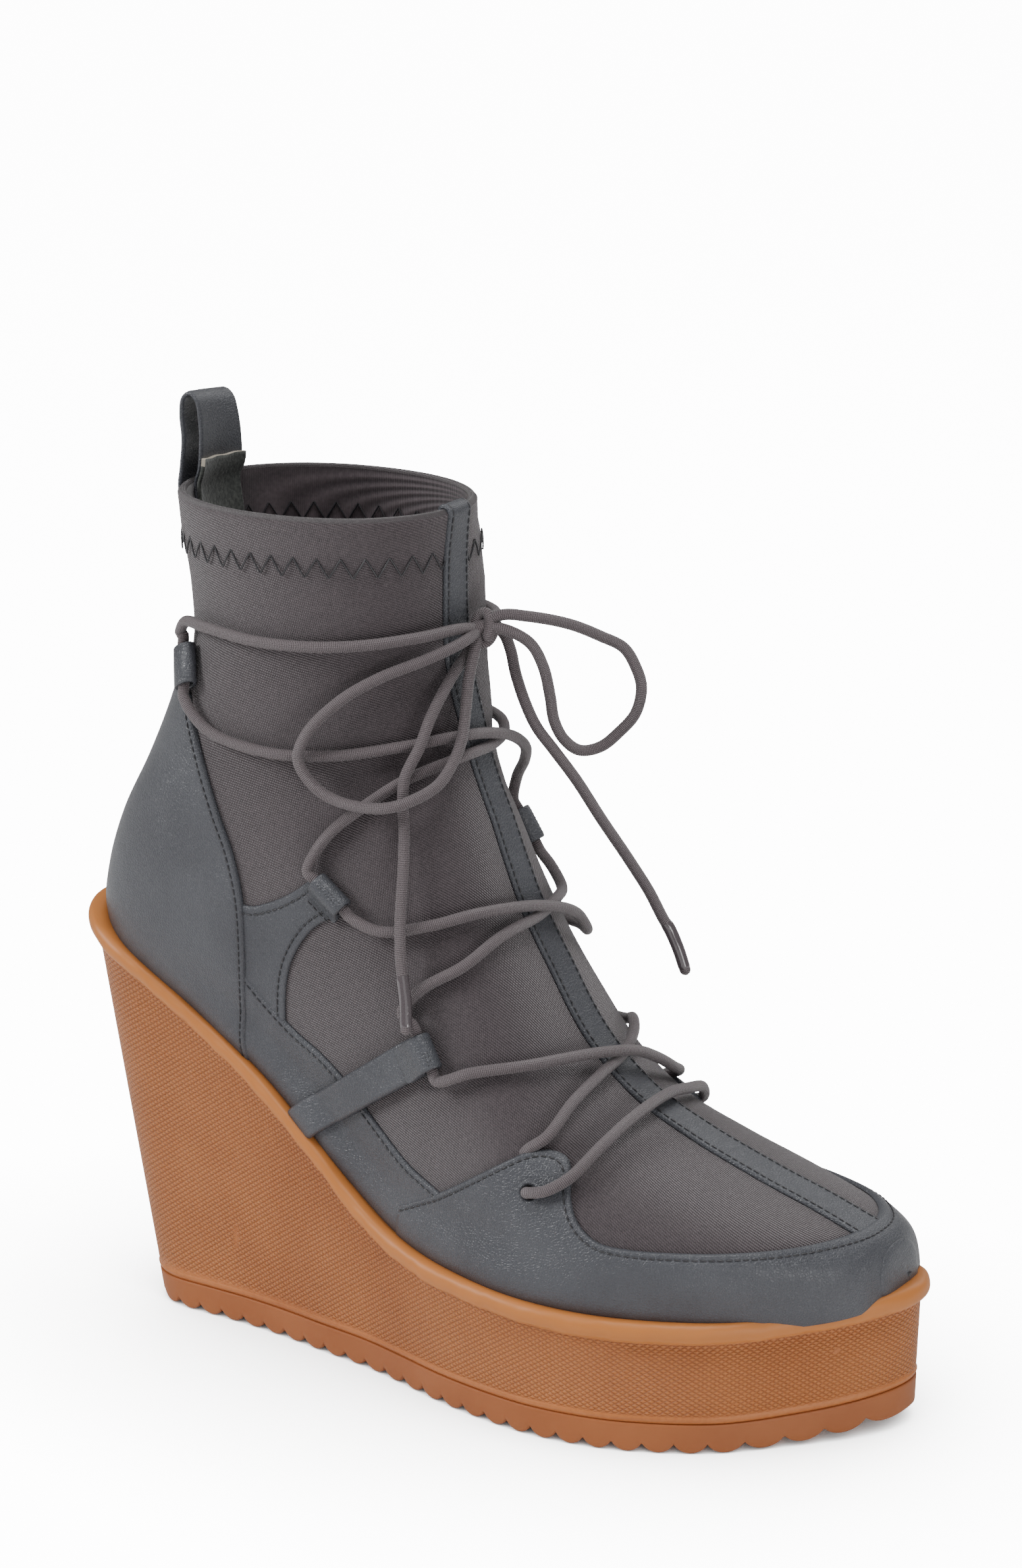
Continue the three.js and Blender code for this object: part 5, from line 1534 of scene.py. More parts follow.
def close_bottom(piece: Piece) -> None:
    """Join the outer and inner cut edges with a strip of faces."""
    shell = bmesh.new()
    shell.from_mesh(piece.data)
    open_edges = [edge for edge in shell.edges if edge.is_boundary]
    if open_edges:
        bmesh.ops.bridge_loops(shell, edges=open_edges)
    bmesh.ops.recalc_face_normals(shell, faces=shell.faces)
    shell.to_mesh(piece.data)
    shell.free()


def make_insole(finish: Finishes) -> Piece:
    """Sock board with a padded top inside the cup."""
    xs = np.linspace(2, SOLE.length - 6, 120)
    centre, half = SOLE.centre(xs), SOLE.half(xs)
    across = np.linspace(-1, 1, 25)
    x, w = np.meshgrid(xs, across, indexing="ij")
    inset = np.clip(half - 4.2, 1.0, None)
    y = centre[:, None] + w * inset[:, None]
    base = SOLE.rim_top(x) - 4.6
    crown = 2.9 + 0.9 * np.abs(w) ** 3
    lean = SOLE.lean(x, base) * 0.9
    top = np.stack([x - lean, y, base + crown], -1)
    low = np.stack([x - lean, y, base], -1)
    points, faces = shell_of(grid_triangles(len(xs), len(across)), top, low)
    return dress(make_object("Insole", points, faces, finish.lining), "sock_lining", "insole")


class Tailor:
    """Makes the leather pieces and gathers their stitch lines."""

    def __init__(self, finish: Finishes) -> None:
        """Keep the materials and gather the seams and tacks."""
        self.finish = finish
        self.seams: dict[str, list[Run]] = {}
        self.tacks: list[Run] = []

    def inset(self, patch: Patch, ring: Sequence) -> Array:
        """Distance of a patch's points within a closed side-view outline."""
        return ring_distance(patch.get("place")[:, [0, 2]], np.vstack(ring))

    def sheet(self, layer: Layer, patch: Patch, inset: Array, *nodes: str) -> Piece:
        """Cut, raise and dress one panel.

        Args:
            layer: Height profile.
            patch: Part of the face that holds the panel.
            inset: Distance within the panel's edge for each point of the patch.
            *nodes: Frame nodes that the piece stands for.

        Returns:
            The panel.
        """
        patch.put("inset", inset)
        rim = patch.get("place")
        patch.put("rim", rim[:, 2] - SOLE.rim_top(rim[:, 0]) + LEATHER_TUCK)
        patch.cut("rim", 0.0)
        points, faces, places, runs = layer.make(patch)
        self.seams[layer.name] = runs
        panel = make_object(layer.name, points, faces, self.finish.leather, places)
        return dress(panel, "grey_leather", *nodes)

    def counter(self) -> Piece:
        """Leather round the heel."""
        edge = panel_line(COUNTER_EDGE)
        ring = [edge[::-1], panel_line(COUNTER_TOP), [FOOT.x_at(-0.1), UNDER], [edge[-1, 0], UNDER]]
        patch = face_patch(8.5, 20.0, 150, 40, 320, 210)
        return self.sheet(Layer("Counter", 1.9), patch, self.inset(patch, ring), "counter")

    def mudguard(self) -> Piece:
        """Leather rand round the toe, with a lace hole at each peak."""
        edge = panel_line(MUDGUARD_EDGE)
        patch = face_patch(-1.0, 9.0, 170, 0, 360, 300)
        inset = self.inset(patch, [[edge[0, 0], UNDER], [edge[-1, 0], UNDER], edge[::-1]])
        plain = np.zeros(len(inset))
        for side in Side:
            hole = FOOT.spot(*near_place(*panel_point(EYELET), side))[0]
            gap = np.linalg.norm(patch.get("place") - hole, axis=1) - EYELET_RADIUS
            plain = np.maximum(plain, np.where(gap < inset, 1.0, 0.0))
            inset = np.minimum(inset, gap)
        patch.put("plain", plain)
        return self.sheet(Layer("Mudguard", 1.65, roll=0.85), patch, inset, "mudguard")

    def quarter(self, side: Side) -> Piece:
        """Leather strip over the rim between counter and mudguard."""
        edge = panel_line(QUARTER_EDGE)
        patch = face_patch(6.0, 16.5, 130, *side.turns(30), 120)
        inset = self.inset(patch, [[edge[0, 0], UNDER], [edge[-1, 0], UNDER], edge[::-1]])
        layer = Layer(f"QuarterStrip_{side.word}", 1.3, roll=0.8)
        return self.sheet(layer, patch, inset, f"quarter_strip_{side.word}")

    @staticmethod
    def bore(rows: Sequence[tuple[float, float]], side: Side) -> Bore:
        """Hole of a loop over the face.

        Args:
            rows: Panel rows of the upper and the lower end.
            side: Side of the boot.

        Returns:
            The hole.
        """
        ends, outs = [], []
        for row in rows:
            place, out = FOOT.spot(*near_place(*panel_point(row), side))
            ends.append(place + out * (GAP + SLEEVE_OUTSIDE))
            outs.append(out)
        return Bore(*ends, unit(outs[0] + outs[1]))

    def tab(self, side: Side) -> Piece:
        """Wing with a rolled loop at its end."""
        bore = self.bore(TAB_BORE[side], side)
        upper, lower = panel_line(TAB_UPPER_EDGE), panel_line(TAB_LOWER_EDGE)
        tip = np.array([bore.start, bore.end])[:, [0, 2]]
        patch = face_patch(7.5, 17.0, 170, *side.turns(12), 150)
        ring = [upper, tip, lower, [FOOT.x_at(0.2), panel_point((0.2, 0.1))[1]]]
        layer = Layer(f"TabWing_{side.word}", 1.0, roll=0.7, stitch=(2.4,), channel=0.1)
        wing = self.sheet(layer, patch, self.inset(patch, ring))
        body = unit((upper[-3:, :].mean(0) + lower[:3, :].mean(0)) / 2 - tip.mean(0))
        body = np.array([body[0], 0.0, body[1]])
        self.tack(bore, body, (0.14, 0.92), (128, 108))
        self.seams[layer.name].append(self.across(bore, body, 7.4, -2.0))
        node = f"side_tab_{side.word}"
        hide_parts(node)
        return closed_piece(f"TabLoop_{side.word}", drop_sleeve(bore, body, 6.6, 1.0), self.finish.leather,
                            "grey_leather", node)

    @staticmethod
    def across(bore: Bore, body: Array, aside: float, above: float,
               span: tuple[float, float] = (0.1, 0.9)) -> Run:
        """Stitch line beside a loop's bore.

        Args:
            bore: Hole of the loop.
            body: Direction to the flap.
            aside: Distance of the line from the bore.
            above: Height of the line over the bore.
            span: Shares of the bore's length at the line's ends.

        Returns:
            The line.
        """
        _, up, side = bore.axes(body)
        share = np.linspace(*span, 12)[:, None]
        line = bore.start + (bore.end - bore.start) * share + side * aside + up * above
        facing = up if aside > 4 else unit(side * aside + up * above)
        return Run(line, np.tile(facing, (12, 1)))

    def tack(self, bore: Bore, body: Array, span: tuple[float, float], angles: Sequence[float]) -> None:
        """Rows of tack stitches on a loop, at angles round its bore."""
        for bend in np.radians(angles):
            aside, above = TACK_REACH * math.cos(bend), TACK_REACH * math.sin(bend)
            self.tacks.append(self.across(bore, body, aside, above, span))

    def strap(self, side: Side) -> Piece:
        """Folded strap over the quarter strip, with its loop."""
        bore = self.bore(STRAP_BORE, side)
        low = np.mean([panel_point(row) for row in STRAP_CORNERS[:2]], axis=0)
        tops = np.array([bore.end, bore.start])[:, [0, 2]]
        way = unit(tops.mean(0) - low)
        square = np.array([way[1], -way[0]])
        ring = [low - square * 5.0, low + square * 5.0, tops[0] + square * 0.45, tops[1] - square * 0.45]
        patch = face_patch(6.0, 14.0, 150, *side.turns(20), 150)
        layer = Layer(f"Strap_{side.word}", 3.5, base=1.2, roll=1.1, stitch=())
        node = f"strap_loop_{side.word}"
        self.sheet(layer, patch, self.inset(patch, ring), node)
        body = -np.array([way[0], 0.0, way[1]])
        self.tack(bore, body, (0.5, 0.93), (135, 118))
        return closed_piece(f"StrapLoop_{side.word}", drop_sleeve(bore, body, 9.5, 2.7), self.finish.leather,
                            "grey_leather", node)

    def keeper(self, side: Side) -> Piece:
        """Wide flattened lace loop at the counter's top."""
        bore = self.bore(KEEPER_BORE, side)
        axis = unit(bore.end - bore.start)
        ahead = unit(np.cross(bore.out, axis))
        width = length_of(np.array([bore.start, bore.end]))
        turn = np.radians(np.linspace(0, 360, 57)[:-1])
        outer = np.stack([np.cos(turn) * 4.9, np.sin(turn) * 2.9], axis=1)
        inner = np.stack([np.cos(turn) * 3.6, np.sin(turn) * 1.75], axis=1)
        out_ways, in_ways = unit(outer), unit(inner)
        outer, inner = outer - KEEPER_SINK, inner - KEEPER_SINK
        stops = [(0.0, 0.5), (0.12, 0.2), (0.4, 0.04), (width / 2, 0.0),
                 (width - 0.4, 0.04), (width - 0.12, 0.2), (width, 0.5)]
        rows = [(along, outer - out_ways * shrink) for along, shrink in stops]
        rows += [(along, inner + in_ways * shrink * 0.3) for along, shrink in stops[::-1]]
        return closed_piece(f"Keeper_{side.word}", swept(bore.start, axis, ahead, bore.out, rows),
                            self.finish.leather, "grey_leather", f"keeper_{side.word}")

    def strip(self) -> Piece:
        """Narrow strip down the front, turned over the collar with a three-sided end."""
        last = FOOT.last
        end = last + 1 + (16.0 - FOLD) / COLLAR_STEP
        patch = face_patch(0.6, end + 0.2, 260, -50, 50, 110)
        place, section = patch.get("place"), patch.get("section")
        line = np.array([[FOOT.x_at(row[0]), row[1] * 9.5] for row in STRIP_LINE])
        aside = np.abs(place[:, 1] - np.interp(place[:, 0], line[:, 0], line[:, 1]))
        tilt = np.interp(place[:, 0], line[:, 0], np.gradient(line[:, 1], line[:, 0]))
        lean = np.where(section < 9, np.cos(np.arctan(tilt)), 1.0)
        half = np.interp(section, [3, 8, 12, 22], [6.3, 6.0, 5.4, 5.2])
        left = (end - section) * COLLAR_STEP
        slanted = (left + (3.2 - aside) * 0.9) / 1.35
        tail = np.where(section > last + 0.5, np.minimum(left, slanted), 9.0)
        inset = np.minimum(half - aside * lean, tail)
        layer = Layer("CentreStrip", 1.35, roll=0.7, stitch=(1.2,), channel=0.08)
        return self.sheet(layer, patch, inset, "centre_strip")


def make_pull_loop(finish: Finishes) -> list[Run]:
    """Make the wide leather loop at the back of the collar.

    Args:
        finish: Materials.

    Returns:
        The loop's stitch lines.
    """
    last, width, rise, fold, twist = FOOT.last, 21.5, 25.0, 0.7, 0.11
    half = SECTION_ROWS[last][7] * FOOT.ankle
    asides = np.linspace(-0.5, 0.5, 13) * width

    def leg(drop: float, distance: float) -> Array:
        turn = math.pi + np.arcsin(asides / half)
        spot = np.full(len(asides), last - drop / COLLAR_STEP)
        return FOOT.face(spot, turn) + FOOT.normal(np.minimum(spot, last - 0.03), turn) * distance

    edge = leg(0, 0)
    back = edge[len(asides) // 2]
    arch = []
    for ahead, up in PULL_LINE:
        bend = (edge[:, 0] - back[0]) * (1 - up * fold)
        arch.append(np.stack([back[0] + ahead * rise + bend - asides * twist * up, asides,
                              back[2] + up * rise - asides * twist * up], axis=1))
    outside, inside = 0.95, -FOOT.wall - 1.55
    rows = [leg(14, outside), leg(7, outside), leg(0, outside), *arch,
            leg(0, inside), leg(10, inside), leg(20, inside)]
    count = len(spline(np.array([row[0] for row in rows]), 1.0))
    columns = np.array(rows).transpose(1, 0, 2)
    grid = np.stack([resampled(column, count) for column in columns], axis=1)
    out = unit(np.cross(np.gradient(grid, axis=1), np.gradient(grid, axis=0)))
    if out[4, 6, 0] > 0:
        out = -out
    profile = np.array([0, 0.12, 0.4, 0.9])
    fine = np.unique(np.concatenate([profile, np.linspace(0.9, width - 0.9, 21), width - profile]))
    index = fine / width * (len(asides) - 1)
    low = np.clip(np.floor(index).astype(int), 0, len(asides) - 2)
    part = (index - low)[None, :, None]
    middle = grid[:, low] * (1 - part) + grid[:, low + 1] * part
    normal = unit(out[:, low] * (1 - part) + out[:, low + 1] * part)
    depth = np.minimum(fine, width - fine)
    rounding = np.sqrt(np.clip(1 - (1 - np.clip(depth / 0.9, 0, 1)) ** 2, 0, 1))
    thick = 0.65 * rounding[None, :, None] + 0.02
    outer = middle + normal * thick
    points, faces = shell_of(grid_triangles(count, len(fine)), outer, middle - normal * thick)
    closed_piece("PullLoop", (points, faces, points[:, 1:]), finish.leather, "grey_leather", "pull_loop")
    patch_rows = np.flatnonzero((np.arange(count) > count / 2) & (middle[:, 10, 2] < back[2] + 8.0)
                                & (middle[:, 10, 2] > back[2] - 15.5))
    flesh_patch(finish, middle[patch_rows], normal[patch_rows])
    near, far = (np.abs(fine - place).argmin() for place in (2.2, width - 2.2))
    seams = [Run(outer[2:15, k], normal[2:15, k]) for k in (near, far)]
    return [*seams, Run(outer[2, near:far], normal[2, near:far])]


def flesh_patch(finish: Finishes, middle: Array, normal: Array) -> None:
    """Add the raw side of the loop's end, with a cream cut edge, over the loop's inner leg.

    Args:
        finish: Materials.
        middle: Grid of middle places of the leg, in rows across it.
        normal: Outward direction at each.
    """
    rows, columns = middle.shape[:2]
    wave = 0.14 * np.sin(np.arange(columns) * 0.7)[None, :, None] * np.array([0.0, 0.0, 1.0])
    fade = np.linspace(1, 0, rows)[:, None, None] ** 4
    spread = (np.arange(columns) / (columns - 1) - 0.5)[None, :, None] * np.array([0.0, 0.4, 0.0])
    base = middle + wave * fade + spread
    sheet = grid_triangles(rows, columns)
    points, faces = shell_of(sheet, base + normal * 1.75, base + normal * 0.6)
    piece = make_object("PullLoopFlesh", points, faces, finish.flesh)
    piece.data.materials.append(finish.raw_edge)
    walls = len(faces) - 2 * len(sheet)
    edge = (points[:, 2].max() - 1.9) * MM
    for polygon in piece.data.polygons[-walls:]:
        if polygon.center.z > edge:
            polygon.material_index = 1
            polygon.use_smooth = False
    fix_outward(piece)
    dress(piece, "grey_leather", "pull_loop")


def resampled(points: Array, count: int) -> Array:
    """Spline through points with a fixed number of samples."""
    fine = spline(points, 0.5)
    far = np.linspace(0, len(fine) - 1, count)
    return np.stack([np.interp(far, np.arange(len(fine)), fine[:, k]) for k in range(3)], axis=1)


def lace_rows(rows: Sequence[tuple[float, float, float]], flip: int = 1) -> list[Array]:
    """Places of a lace table over the upper."""
    return [FOOT.lifted(section, turn * flip, lift * LACE) for section, turn, lift in rows]


class Lacing:
    """Lace, knot, bow and ends."""

    def __init__(self, finish: Finishes, tailor: Tailor) -> None:
        """Keep the materials and read the loops' places."""
        self.finish = finish
        self.knot = FOOT.lifted(17.72, -2, 2.2 * LACE)
        self.strap = {side: tailor.bore(STRAP_BORE, side) for side in Side}
        self.tab = {side: tailor.bore(TAB_BORE[side], side) for side in Side}
        self.keeper = {side: tailor.bore(KEEPER_BORE, side) for side in Side}

    def rope(self, name: str, points: Sequence[Array], node: str) -> tuple[Piece, Array]:
        """Round lace along a way, and its middle line."""
        line = spline(np.array(points), 0.55)
        shape = tube(line, LACE / 2)
        return closed_piece(name, shape, self.finish.lace, "round_lace", node), line

    def crossings(self) -> None:
        """Make the bar and the runs from there to the knot."""
        inner, outer = Side.MEDIAL, Side.LATERAL
        hole = {side: near_place(*panel_point(EYELET), side) for side in Side}
        into = [FOOT.lifted(6.78, 56, 0.4), FOOT.lifted(6.9, 61, -2.5)]
        first = [into[1], into[0], *lace_rows(TOE_TO_INNER_STRAP), *self.strap[inner].way(),
                 *lace_rows(STRAP_TO_OUTER_TAB), *self.tab[outer].way(),
                 *lace_rows(TAB_TO_INNER_KEEPER), *self.keeper[inner].way(),
                 *lace_rows(KEEPER_TO_KNOT, -1), self.knot]
        into = [FOOT.lifted(6.7, -56, 0.4), FOOT.lifted(6.8, -61, -2.5)]
        second = [into[1], into[0], *lace_rows(TOE_TO_OUTER_STRAP), *self.strap[outer].way(),
                  *lace_rows(STRAP_TO_INNER_TAB), *self.tab[inner].way(),
                  *lace_rows(TAB_TO_OUTER_KEEPER), *self.keeper[outer].way(),
                  *lace_rows(KEEPER_TO_KNOT), self.knot]
        ends = {side: [FOOT.lifted(place[0], math.degrees(place[1]), lift) for lift in (-3.0, 0.6, 2.6)]
                for side, place in hole.items()}
        bar = [*ends[outer], *lace_rows(BAR_RUN), *ends[inner][::-1]]
        self.rope("LaceFirst", first, "lace_crossings")
        self.rope("LaceSecond", second, "lace_crossings")
        self.rope("LaceBar", bar, "lace_bar")

    def tie(self) -> Piece:
        """Knot, as a lace wound round the strands that meet in it."""
        c = self.knot
        coil = []
        for k in range(17):
            a = 2 * math.pi * k / 14 - 0.4
            coil.append(c + np.array([1.2 + math.cos(a) * 2.6, (k / 16 - 0.5) * 2.4 + math.sin(a) * 1.2,
                                      0.2 + math.sin(a) * 4.1]))
        parts = [tube(spline(np.array(coil), 0.5), LACE / 2)]
        bar = np.array([c + v for v in ([-1.6, -2.8, -0.6], [0.8, 0, 0.3], [2.6, 3.0, 0.6])])
        parts.append(tube(spline(bar, 0.6), 2.3, 14))
        return closed_piece("LaceKnot", merge(parts), self.finish.lace, "round_lace", "lace_knot")

    def free(self, name: str, node: str, rows: Sequence[Array], far_end: str,
             pieces: Sequence[Piece] = ()) -> None:
        """Make one free run of lace.

        Args:
            name: Name of the piece.
            node: Frame node that it stands for.
            rows: Control points from the knot outward.
            far_end: What the far end is; not used.
            pieces: Pieces for its end; not used.
        """
        piece, line = self.rope(name, rows, node)

    def bow(self) -> None:
        """Both loops and both ends with their films."""
        hung = {label: [self.knot + BOW_SHIFT + np.array(row) * BOW_SIZE for row in rows]
                for label, rows in (("loop", INNER_LOOP), ("end", INNER_END))}
        for side, rows in ((Side.LATERAL, lace_rows(OUTER_LOOP)), (Side.MEDIAL, hung["loop"])):
            self.free(f"BowLoop_{side.word}", f"bow_loop_{side.word}", [self.knot, *rows, self.knot], "knot")
        for side, rows in ((Side.LATERAL, lace_rows(OUTER_END)), (Side.MEDIAL, hung["end"])):
            line = spline(np.array([self.knot, *rows]), 0.5)
            far = distances(line)
            tip = line[far > far[-1] - 15.0]
            width = np.interp(np.arange(len(tip)), [0, 2, len(tip) - 3, len(tip) - 1], [1.66, 1.8, 1.7, 1.45])
            film = closed_piece(f"Aglet_{side.word}", tube(tip, width), self.finish.film,
                                "lace_film", f"aglet_{side.word}")
            self.free(f"LaceEnd_{side.word}", f"lace_end_{side.word}", [self.knot, *rows], "bare", [film])


@dataclass(frozen=True)
class Camera:
    """Camera of the photo, in the design frame."""

    azimuth: float = 31.0
    elevation: float = 16.0
    aim: tuple[float, float, float] = (110.0, 0.0, 120.0)
    aside: float = 2.48545
    above: float = 45.81878
    distance: float = 1216.0
    focal: float = 6627.2
    tall: float = 2380.0

    def place(self) -> None:
        """Put the camera in the scene."""
        a, e = math.radians(self.azimuth), math.radians(self.elevation)
        right = np.array([math.cos(a), math.sin(a), 0])
        back = np.array([math.sin(a) * math.cos(e), -math.cos(a) * math.cos(e), math.sin(e)])
        up = np.cross(back, right)
        spot = metres(np.array(self.aim) + right * self.aside + up * self.above + back * self.distance)
        data = bpy.data.cameras.new("Camera")
        data.sensor_width = 36.0
        data.lens = self.focal / self.tall * 36.0
        camera = bpy.data.objects.new("Camera", data)
        camera.matrix_world = Matrix([*zip(right, up, back, spot), (0, 0, 0, 1)])
        bpy.context.scene.collection.objects.link(camera)
        bpy.context.scene.camera = camera


@dataclass(frozen=True)
class Thread:
    """Pitch, length, radius and depth of stitches in millimetres, and the seed of their differences."""

    pitch: float = 2.3
    length: float = 1.75
    radius: float = 0.235
    sink: float = 0.0
    seed: int = 4


class Sewing:
    """Stitches made by Geometry Nodes along lines on the boot."""

    def __init__(self, finish: Finishes) -> None:
        """Build the node group."""
        self.finish = finish
        self.group = bpy.data.node_groups.new("StitchRun", "GeometryNodeTree")
        face = self.group.interface
        face.new_socket("Geometry", in_out="INPUT", socket_type="NodeSocketGeometry")
        kinds = {"Stitch Length": "Float", "Thread Radius": "Float", "Jitter": "Float", "Seed": "Int",
                 "Thread": "Material"}
        made = [face.new_socket(label, in_out="INPUT", socket_type=f"NodeSocket{kind}")
                for label, kind in kinds.items()]
        self.sockets = [socket.identifier for socket in made]
        face.new_socket("Geometry", in_out="OUTPUT", socket_type="NodeSocketGeometry")
        self._wire()

    def _wire(self) -> None:
        """Add the nodes: an arched thread on each point, turned along the line and out of the face."""
        def node(kind: str, **values: object) -> bpy.types.Node:
            return add_node(self.group, kind, **values)

        source, sink = node("NodeGroupInput"), node("NodeGroupOutput")
        line = node("GeometryNodeCurveQuadraticBezier", in_Resolution=6)
        links = []
        for socket, sign in (("Start", -0.5), ("End", 0.5)):
            far = node("ShaderNodeMath", operation="MULTIPLY", in_1=sign)
            spot = node("ShaderNodeCombineXYZ")
            links += [(source.outputs["Stitch Length"], far.inputs[0]), (far.outputs[0], spot.inputs["X"]),
                      (spot.outputs[0], line.inputs[socket])]
        rise, lift = node("ShaderNodeCombineXYZ"), node("ShaderNodeMath", operation="MULTIPLY", in_1=1.5)
        ring = node("GeometryNodeCurvePrimitiveCircle", in_Resolution=6)
        body = node("GeometryNodeCurveToMesh", in_Fill_Caps=True)
        way, up = (node("GeometryNodeInputNamedAttribute", data_type="FLOAT_VECTOR", in_Name=name)
                   for name in ("way", "up"))
        first = node("FunctionNodeAlignEulerToVector", axis="X")
        second = node("FunctionNodeAlignEulerToVector", axis="Z", pivot_axis="X")
        low = node("ShaderNodeMath", operation="SUBTRACT", in_0=1.0)
        spread = node("FunctionNodeRandomValue", data_type="FLOAT")
        least, most = [socket for socket in spread.inputs if socket.type == "VALUE"][:2]
        most.default_value = 1.0
        chance = next(socket for socket in spread.outputs if socket.type == "VALUE")
        sow, real = node("GeometryNodeInstanceOnPoints"), node("GeometryNodeRealizeInstances")
        paint = node("GeometryNodeSetMaterial")
        links += [
            (source.outputs["Thread Radius"], lift.inputs[0]), (lift.outputs[0], rise.inputs["Z"]),
            (rise.outputs[0], line.inputs["Middle"]),
            (source.outputs["Thread Radius"], ring.inputs["Radius"]),
            (line.outputs[0], body.inputs["Curve"]), (ring.outputs[0], body.inputs["Profile Curve"]),
            (way.outputs[0], first.inputs["Vector"]), (first.outputs[0], second.inputs["Rotation"]),
            (up.outputs[0], second.inputs["Vector"]), (source.outputs["Jitter"], low.inputs[1]),
            (low.outputs[0], least), (source.outputs["Seed"], spread.inputs["Seed"]),
            (source.outputs["Geometry"], sow.inputs["Points"]), (body.outputs[0], sow.inputs["Instance"]),
            (second.outputs[0], sow.inputs["Rotation"]), (chance, sow.inputs["Scale"]),
            (sow.outputs[0], real.inputs[0]), (real.outputs[0], paint.inputs["Geometry"]),
            (source.outputs["Thread"], paint.inputs["Material"]), (paint.outputs[0], sink.inputs[0]),
        ]
        for start, end in links:
            self.group.links.new(start, end)

    def sew(self, name: str, runs: Sequence[Run], thread: Thread = Thread()) -> Piece | None:
        """Sew along runs.

        Args:
            name: Name of the piece.
            runs: Lines with their outward directions.
            thread: Sizes of the stitches.

        Returns:
            The stitches as one mesh, or none without lines.
        """
        points, ways, ups = [], [], []
        for run in runs:
            if length_of(run.points) < thread.pitch * 1.5:
                continue
            both = even(np.hstack([run.points, run.ups]), thread.pitch)
            line, up = both[:, :3], unit(both[:, 3:])
            way = unit(np.gradient(line, axis=0))
            points.append(line[:-1] * 0.5 + line[1:] * 0.5 - up[:-1] * thread.sink)
            ways.append(way[:-1] + way[1:])
            ups.append(up[:-1])
        if not points:
            return None
        return self.place(name, np.vstack(points), np.vstack(ways), np.vstack(ups), thread)

    def place(self, name: str, points: Array, ways: Array, ups: Array, thread: Thread) -> Piece:
        """Put a stitch at each point.

        Args:
            name: Name of the piece.
            points: Middles of the stitches in millimetres.
            ways: Directions of the thread.
            ups: Outward directions.
            thread: Sizes of the stitches.

        Returns:
            The stitches as one mesh.
        """
        mesh = bpy.data.meshes.new(name)
        mesh.from_pydata(metres(points).tolist(), [], [])
        for label, rows in (("way", unit(ways)), ("up", unit(ups))):
            layer = mesh.attributes.new(label, "FLOAT_VECTOR", "POINT")
            layer.data.foreach_set("vector", rows.ravel())
        piece = bpy.data.objects.new(name, mesh)
        bpy.context.scene.collection.objects.link(piece)
        modifier = piece.modifiers.new("Stitches", "NODES")
        modifier.node_group = self.group
        values = (thread.length * MM, thread.radius * MM, 0.12, thread.seed, self.finish.thread)
        for key, value in zip(self.sockets, values):
            modifier[key] = value
        graph = bpy.context.evaluated_depsgraph_get()
        plain = bpy.data.meshes.new_from_object(piece.evaluated_get(graph))
        piece.modifiers.clear()
        piece.data = plain
        plain.name = name
        if not plain.materials:
            plain.materials.append(self.finish.thread)
        return dress(piece, None)


def hem_zigzag(drop: float, pitch: float = 6.6, wide: float = 5.4) -> Triple:
    """Zigzag of thread round the shaft, outside and inside.

    Args:
        drop: Distance under the collar in millimetres.
        pitch: Length of one zigzag.
        wide: Height of it.

    Returns:
        Middles, directions and outward directions of the stitches.
    """
    last = FOOT.last
    points, ways, ups = [], [], []
    turns = warped(721)
    ladder_of = np.linspace(last - 4, last, 60)
    s, t = np.meshgrid(ladder_of, turns, indexing="ij")
    below = FOOT.face(s, t)[..., 2]
    level = np.array([np.interp(column[-1] - drop, column, ladder_of) for column in below.T])
    for base, lift in ((level, 0.56), (2 * last + 1 - level, 0.34)):
        place, normal = sock(base, turns)
        both = even(np.hstack([place, normal]), pitch / 2)
        line, up = both[:, :3], unit(both[:, 3:])
        rise = np.array([0, 0, 1.0]) * np.where(np.arange(len(line)) % 2, wide / 2, -wide / 2)[:, None]
        line = line + rise + up * lift
        points.append((line[1:] + line[:-1]) / 2)
        ways.append(line[1:] - line[:-1])
        ups.append(up[:-1])
    return np.vstack(points), np.vstack(ways), np.vstack(ups)


def light(name: str, place: tuple[float, float, float], size: float, power: float) -> None:
    """Soft area light aimed at the boot.

    Args:
        name: Name of the light.
        place: Its place in metres.
        size: Its width.
        power: Power in watts.
    """
    data = bpy.data.lights.new(name, "AREA")
    data.energy = power
    data.size = size
    lamp = bpy.data.objects.new(name, data)
    lamp.location = place
    lamp.rotation_euler = (Vector((0, 0, 0.12)) - Vector(place)).to_track_quat("-Z", "Y").to_euler()
    bpy.context.scene.collection.objects.link(lamp)


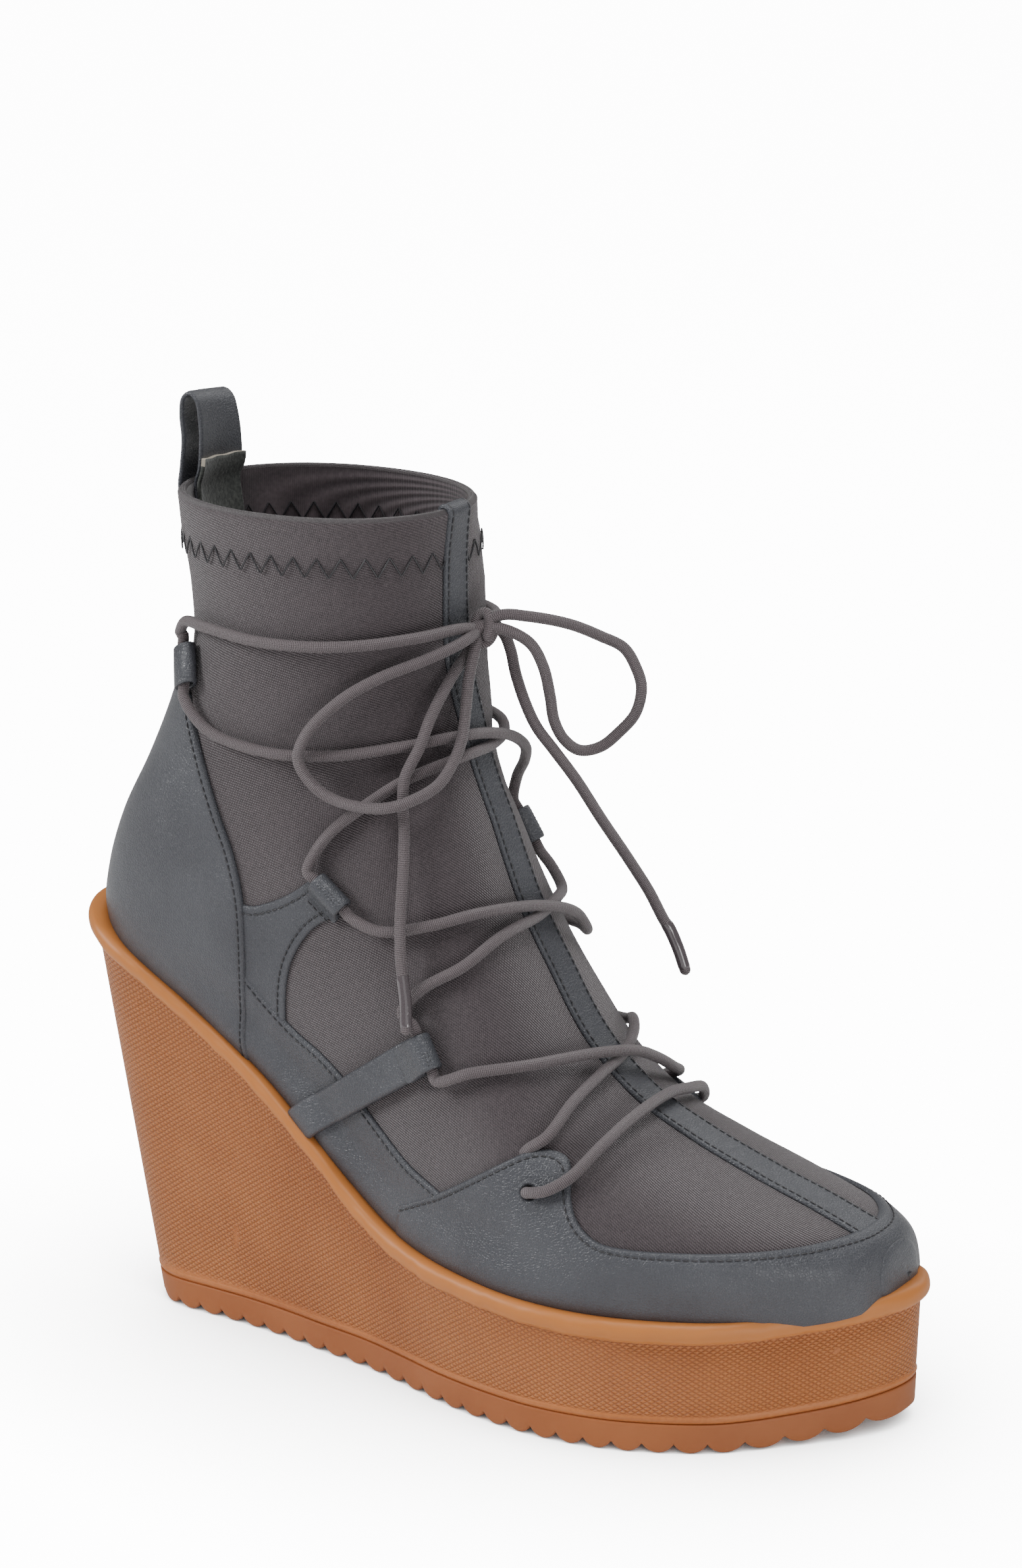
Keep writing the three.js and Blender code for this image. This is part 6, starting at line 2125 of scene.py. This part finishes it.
def make_studio() -> None:
    """Pale floor and background with soft light; the floor glows for the camera, with a painted contact
    shadow near the boot.
    """
    floor = Paint("Floor", 0.9)
    floor.finish((0.9, 0.9, 0.9))
    seen = floor.node("ShaderNodeLightPath").outputs["Is Camera Ray"]
    floor.shader.inputs["Emission Color"].default_value = (1, 1, 1, 1)
    # Painted shadow: the floor's glow, seen only by the camera, is dimmed by ambient occlusion near the boot
    # as a soft contact shadow.
    painted_shadow_occlusion = floor.node("ShaderNodeAmbientOcclusion", in_Distance=0.11, samples=8).outputs["AO"]
    camera_glow_with_painted_shadow = floor.maths("MULTIPLY", floor.maths("POWER", painted_shadow_occlusion, 2.0), 13.0)
    floor.link(floor.maths("MULTIPLY", seen, camera_glow_with_painted_shadow), floor.shader.inputs["Emission Strength"])
    bpy.ops.mesh.primitive_plane_add(size=14, location=(0, 0, -0.0002))
    plane = bpy.context.object
    plane.name = "Floor"
    plane.data.materials.append(floor.material)
    world = bpy.data.worlds.new("Studio")
    world.use_nodes = True
    world.node_tree.nodes["Background"].inputs[0].default_value = (1, 1, 1, 1)
    sky = world.node_tree
    ray, glare = sky.nodes.new("ShaderNodeLightPath"), sky.nodes.new("ShaderNodeMath")
    glare.operation = "MULTIPLY_ADD"
    glare.inputs[1].default_value, glare.inputs[2].default_value = 12.0, 0.26
    sky.links.new(ray.outputs["Is Camera Ray"], glare.inputs[0])
    sky.links.new(glare.outputs[0], sky.nodes["Background"].inputs[1])
    bpy.context.scene.world = world
    light("Key", (-1.1, -1.0, 1.1), 0.7, 21)
    light("Fill", (1.1, -1.2, 0.8), 1.2, 3.5)
    light("Low", (0.75, -0.35, 0.1), 0.3, 1.6)
    light("Top", (0.25, -0.3, 1.5), 0.7, 12)
    light("Back", (0.2, 1.2, 1.1), 1.2, 7)


def main() -> None:
    """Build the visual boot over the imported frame."""
    logging.basicConfig(level=logging.INFO, format="%(name)s %(message)s")
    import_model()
    finish = make_finishes()
    Camera().place()
    tailor = Tailor(finish)
    lacing = Lacing(finish, tailor)
    lacing.crossings()
    lacing.tie()
    lacing.bow()
    make_wedge(finish, make_upper(finish))
    make_outsole(finish)
    make_insole(finish)
    tailor.counter()
    tailor.mudguard()
    for side in Side:
        tailor.quarter(side)
        tailor.tab(side)
        tailor.strap(side)
        tailor.keeper(side)
    tailor.strip()
    loop_seams = make_pull_loop(finish)
    sewing = Sewing(finish)
    for name, runs in tailor.seams.items():
        sewing.sew(f"Stitches_{name}", runs)
    sewing.sew("Stitches_PullLoop", loop_seams, Thread(pitch=2.0, length=1.5))
    sewing.sew("Stitches_Tacks", tailor.tacks, Thread(pitch=1.1, length=0.45, radius=0.1, sink=0.06))
    sewing.place("Stitches_Hem", *hem_zigzag(HEM), Thread(length=6.4, radius=0.27, seed=7))
    make_studio()


if __name__ == "__main__":
    main()
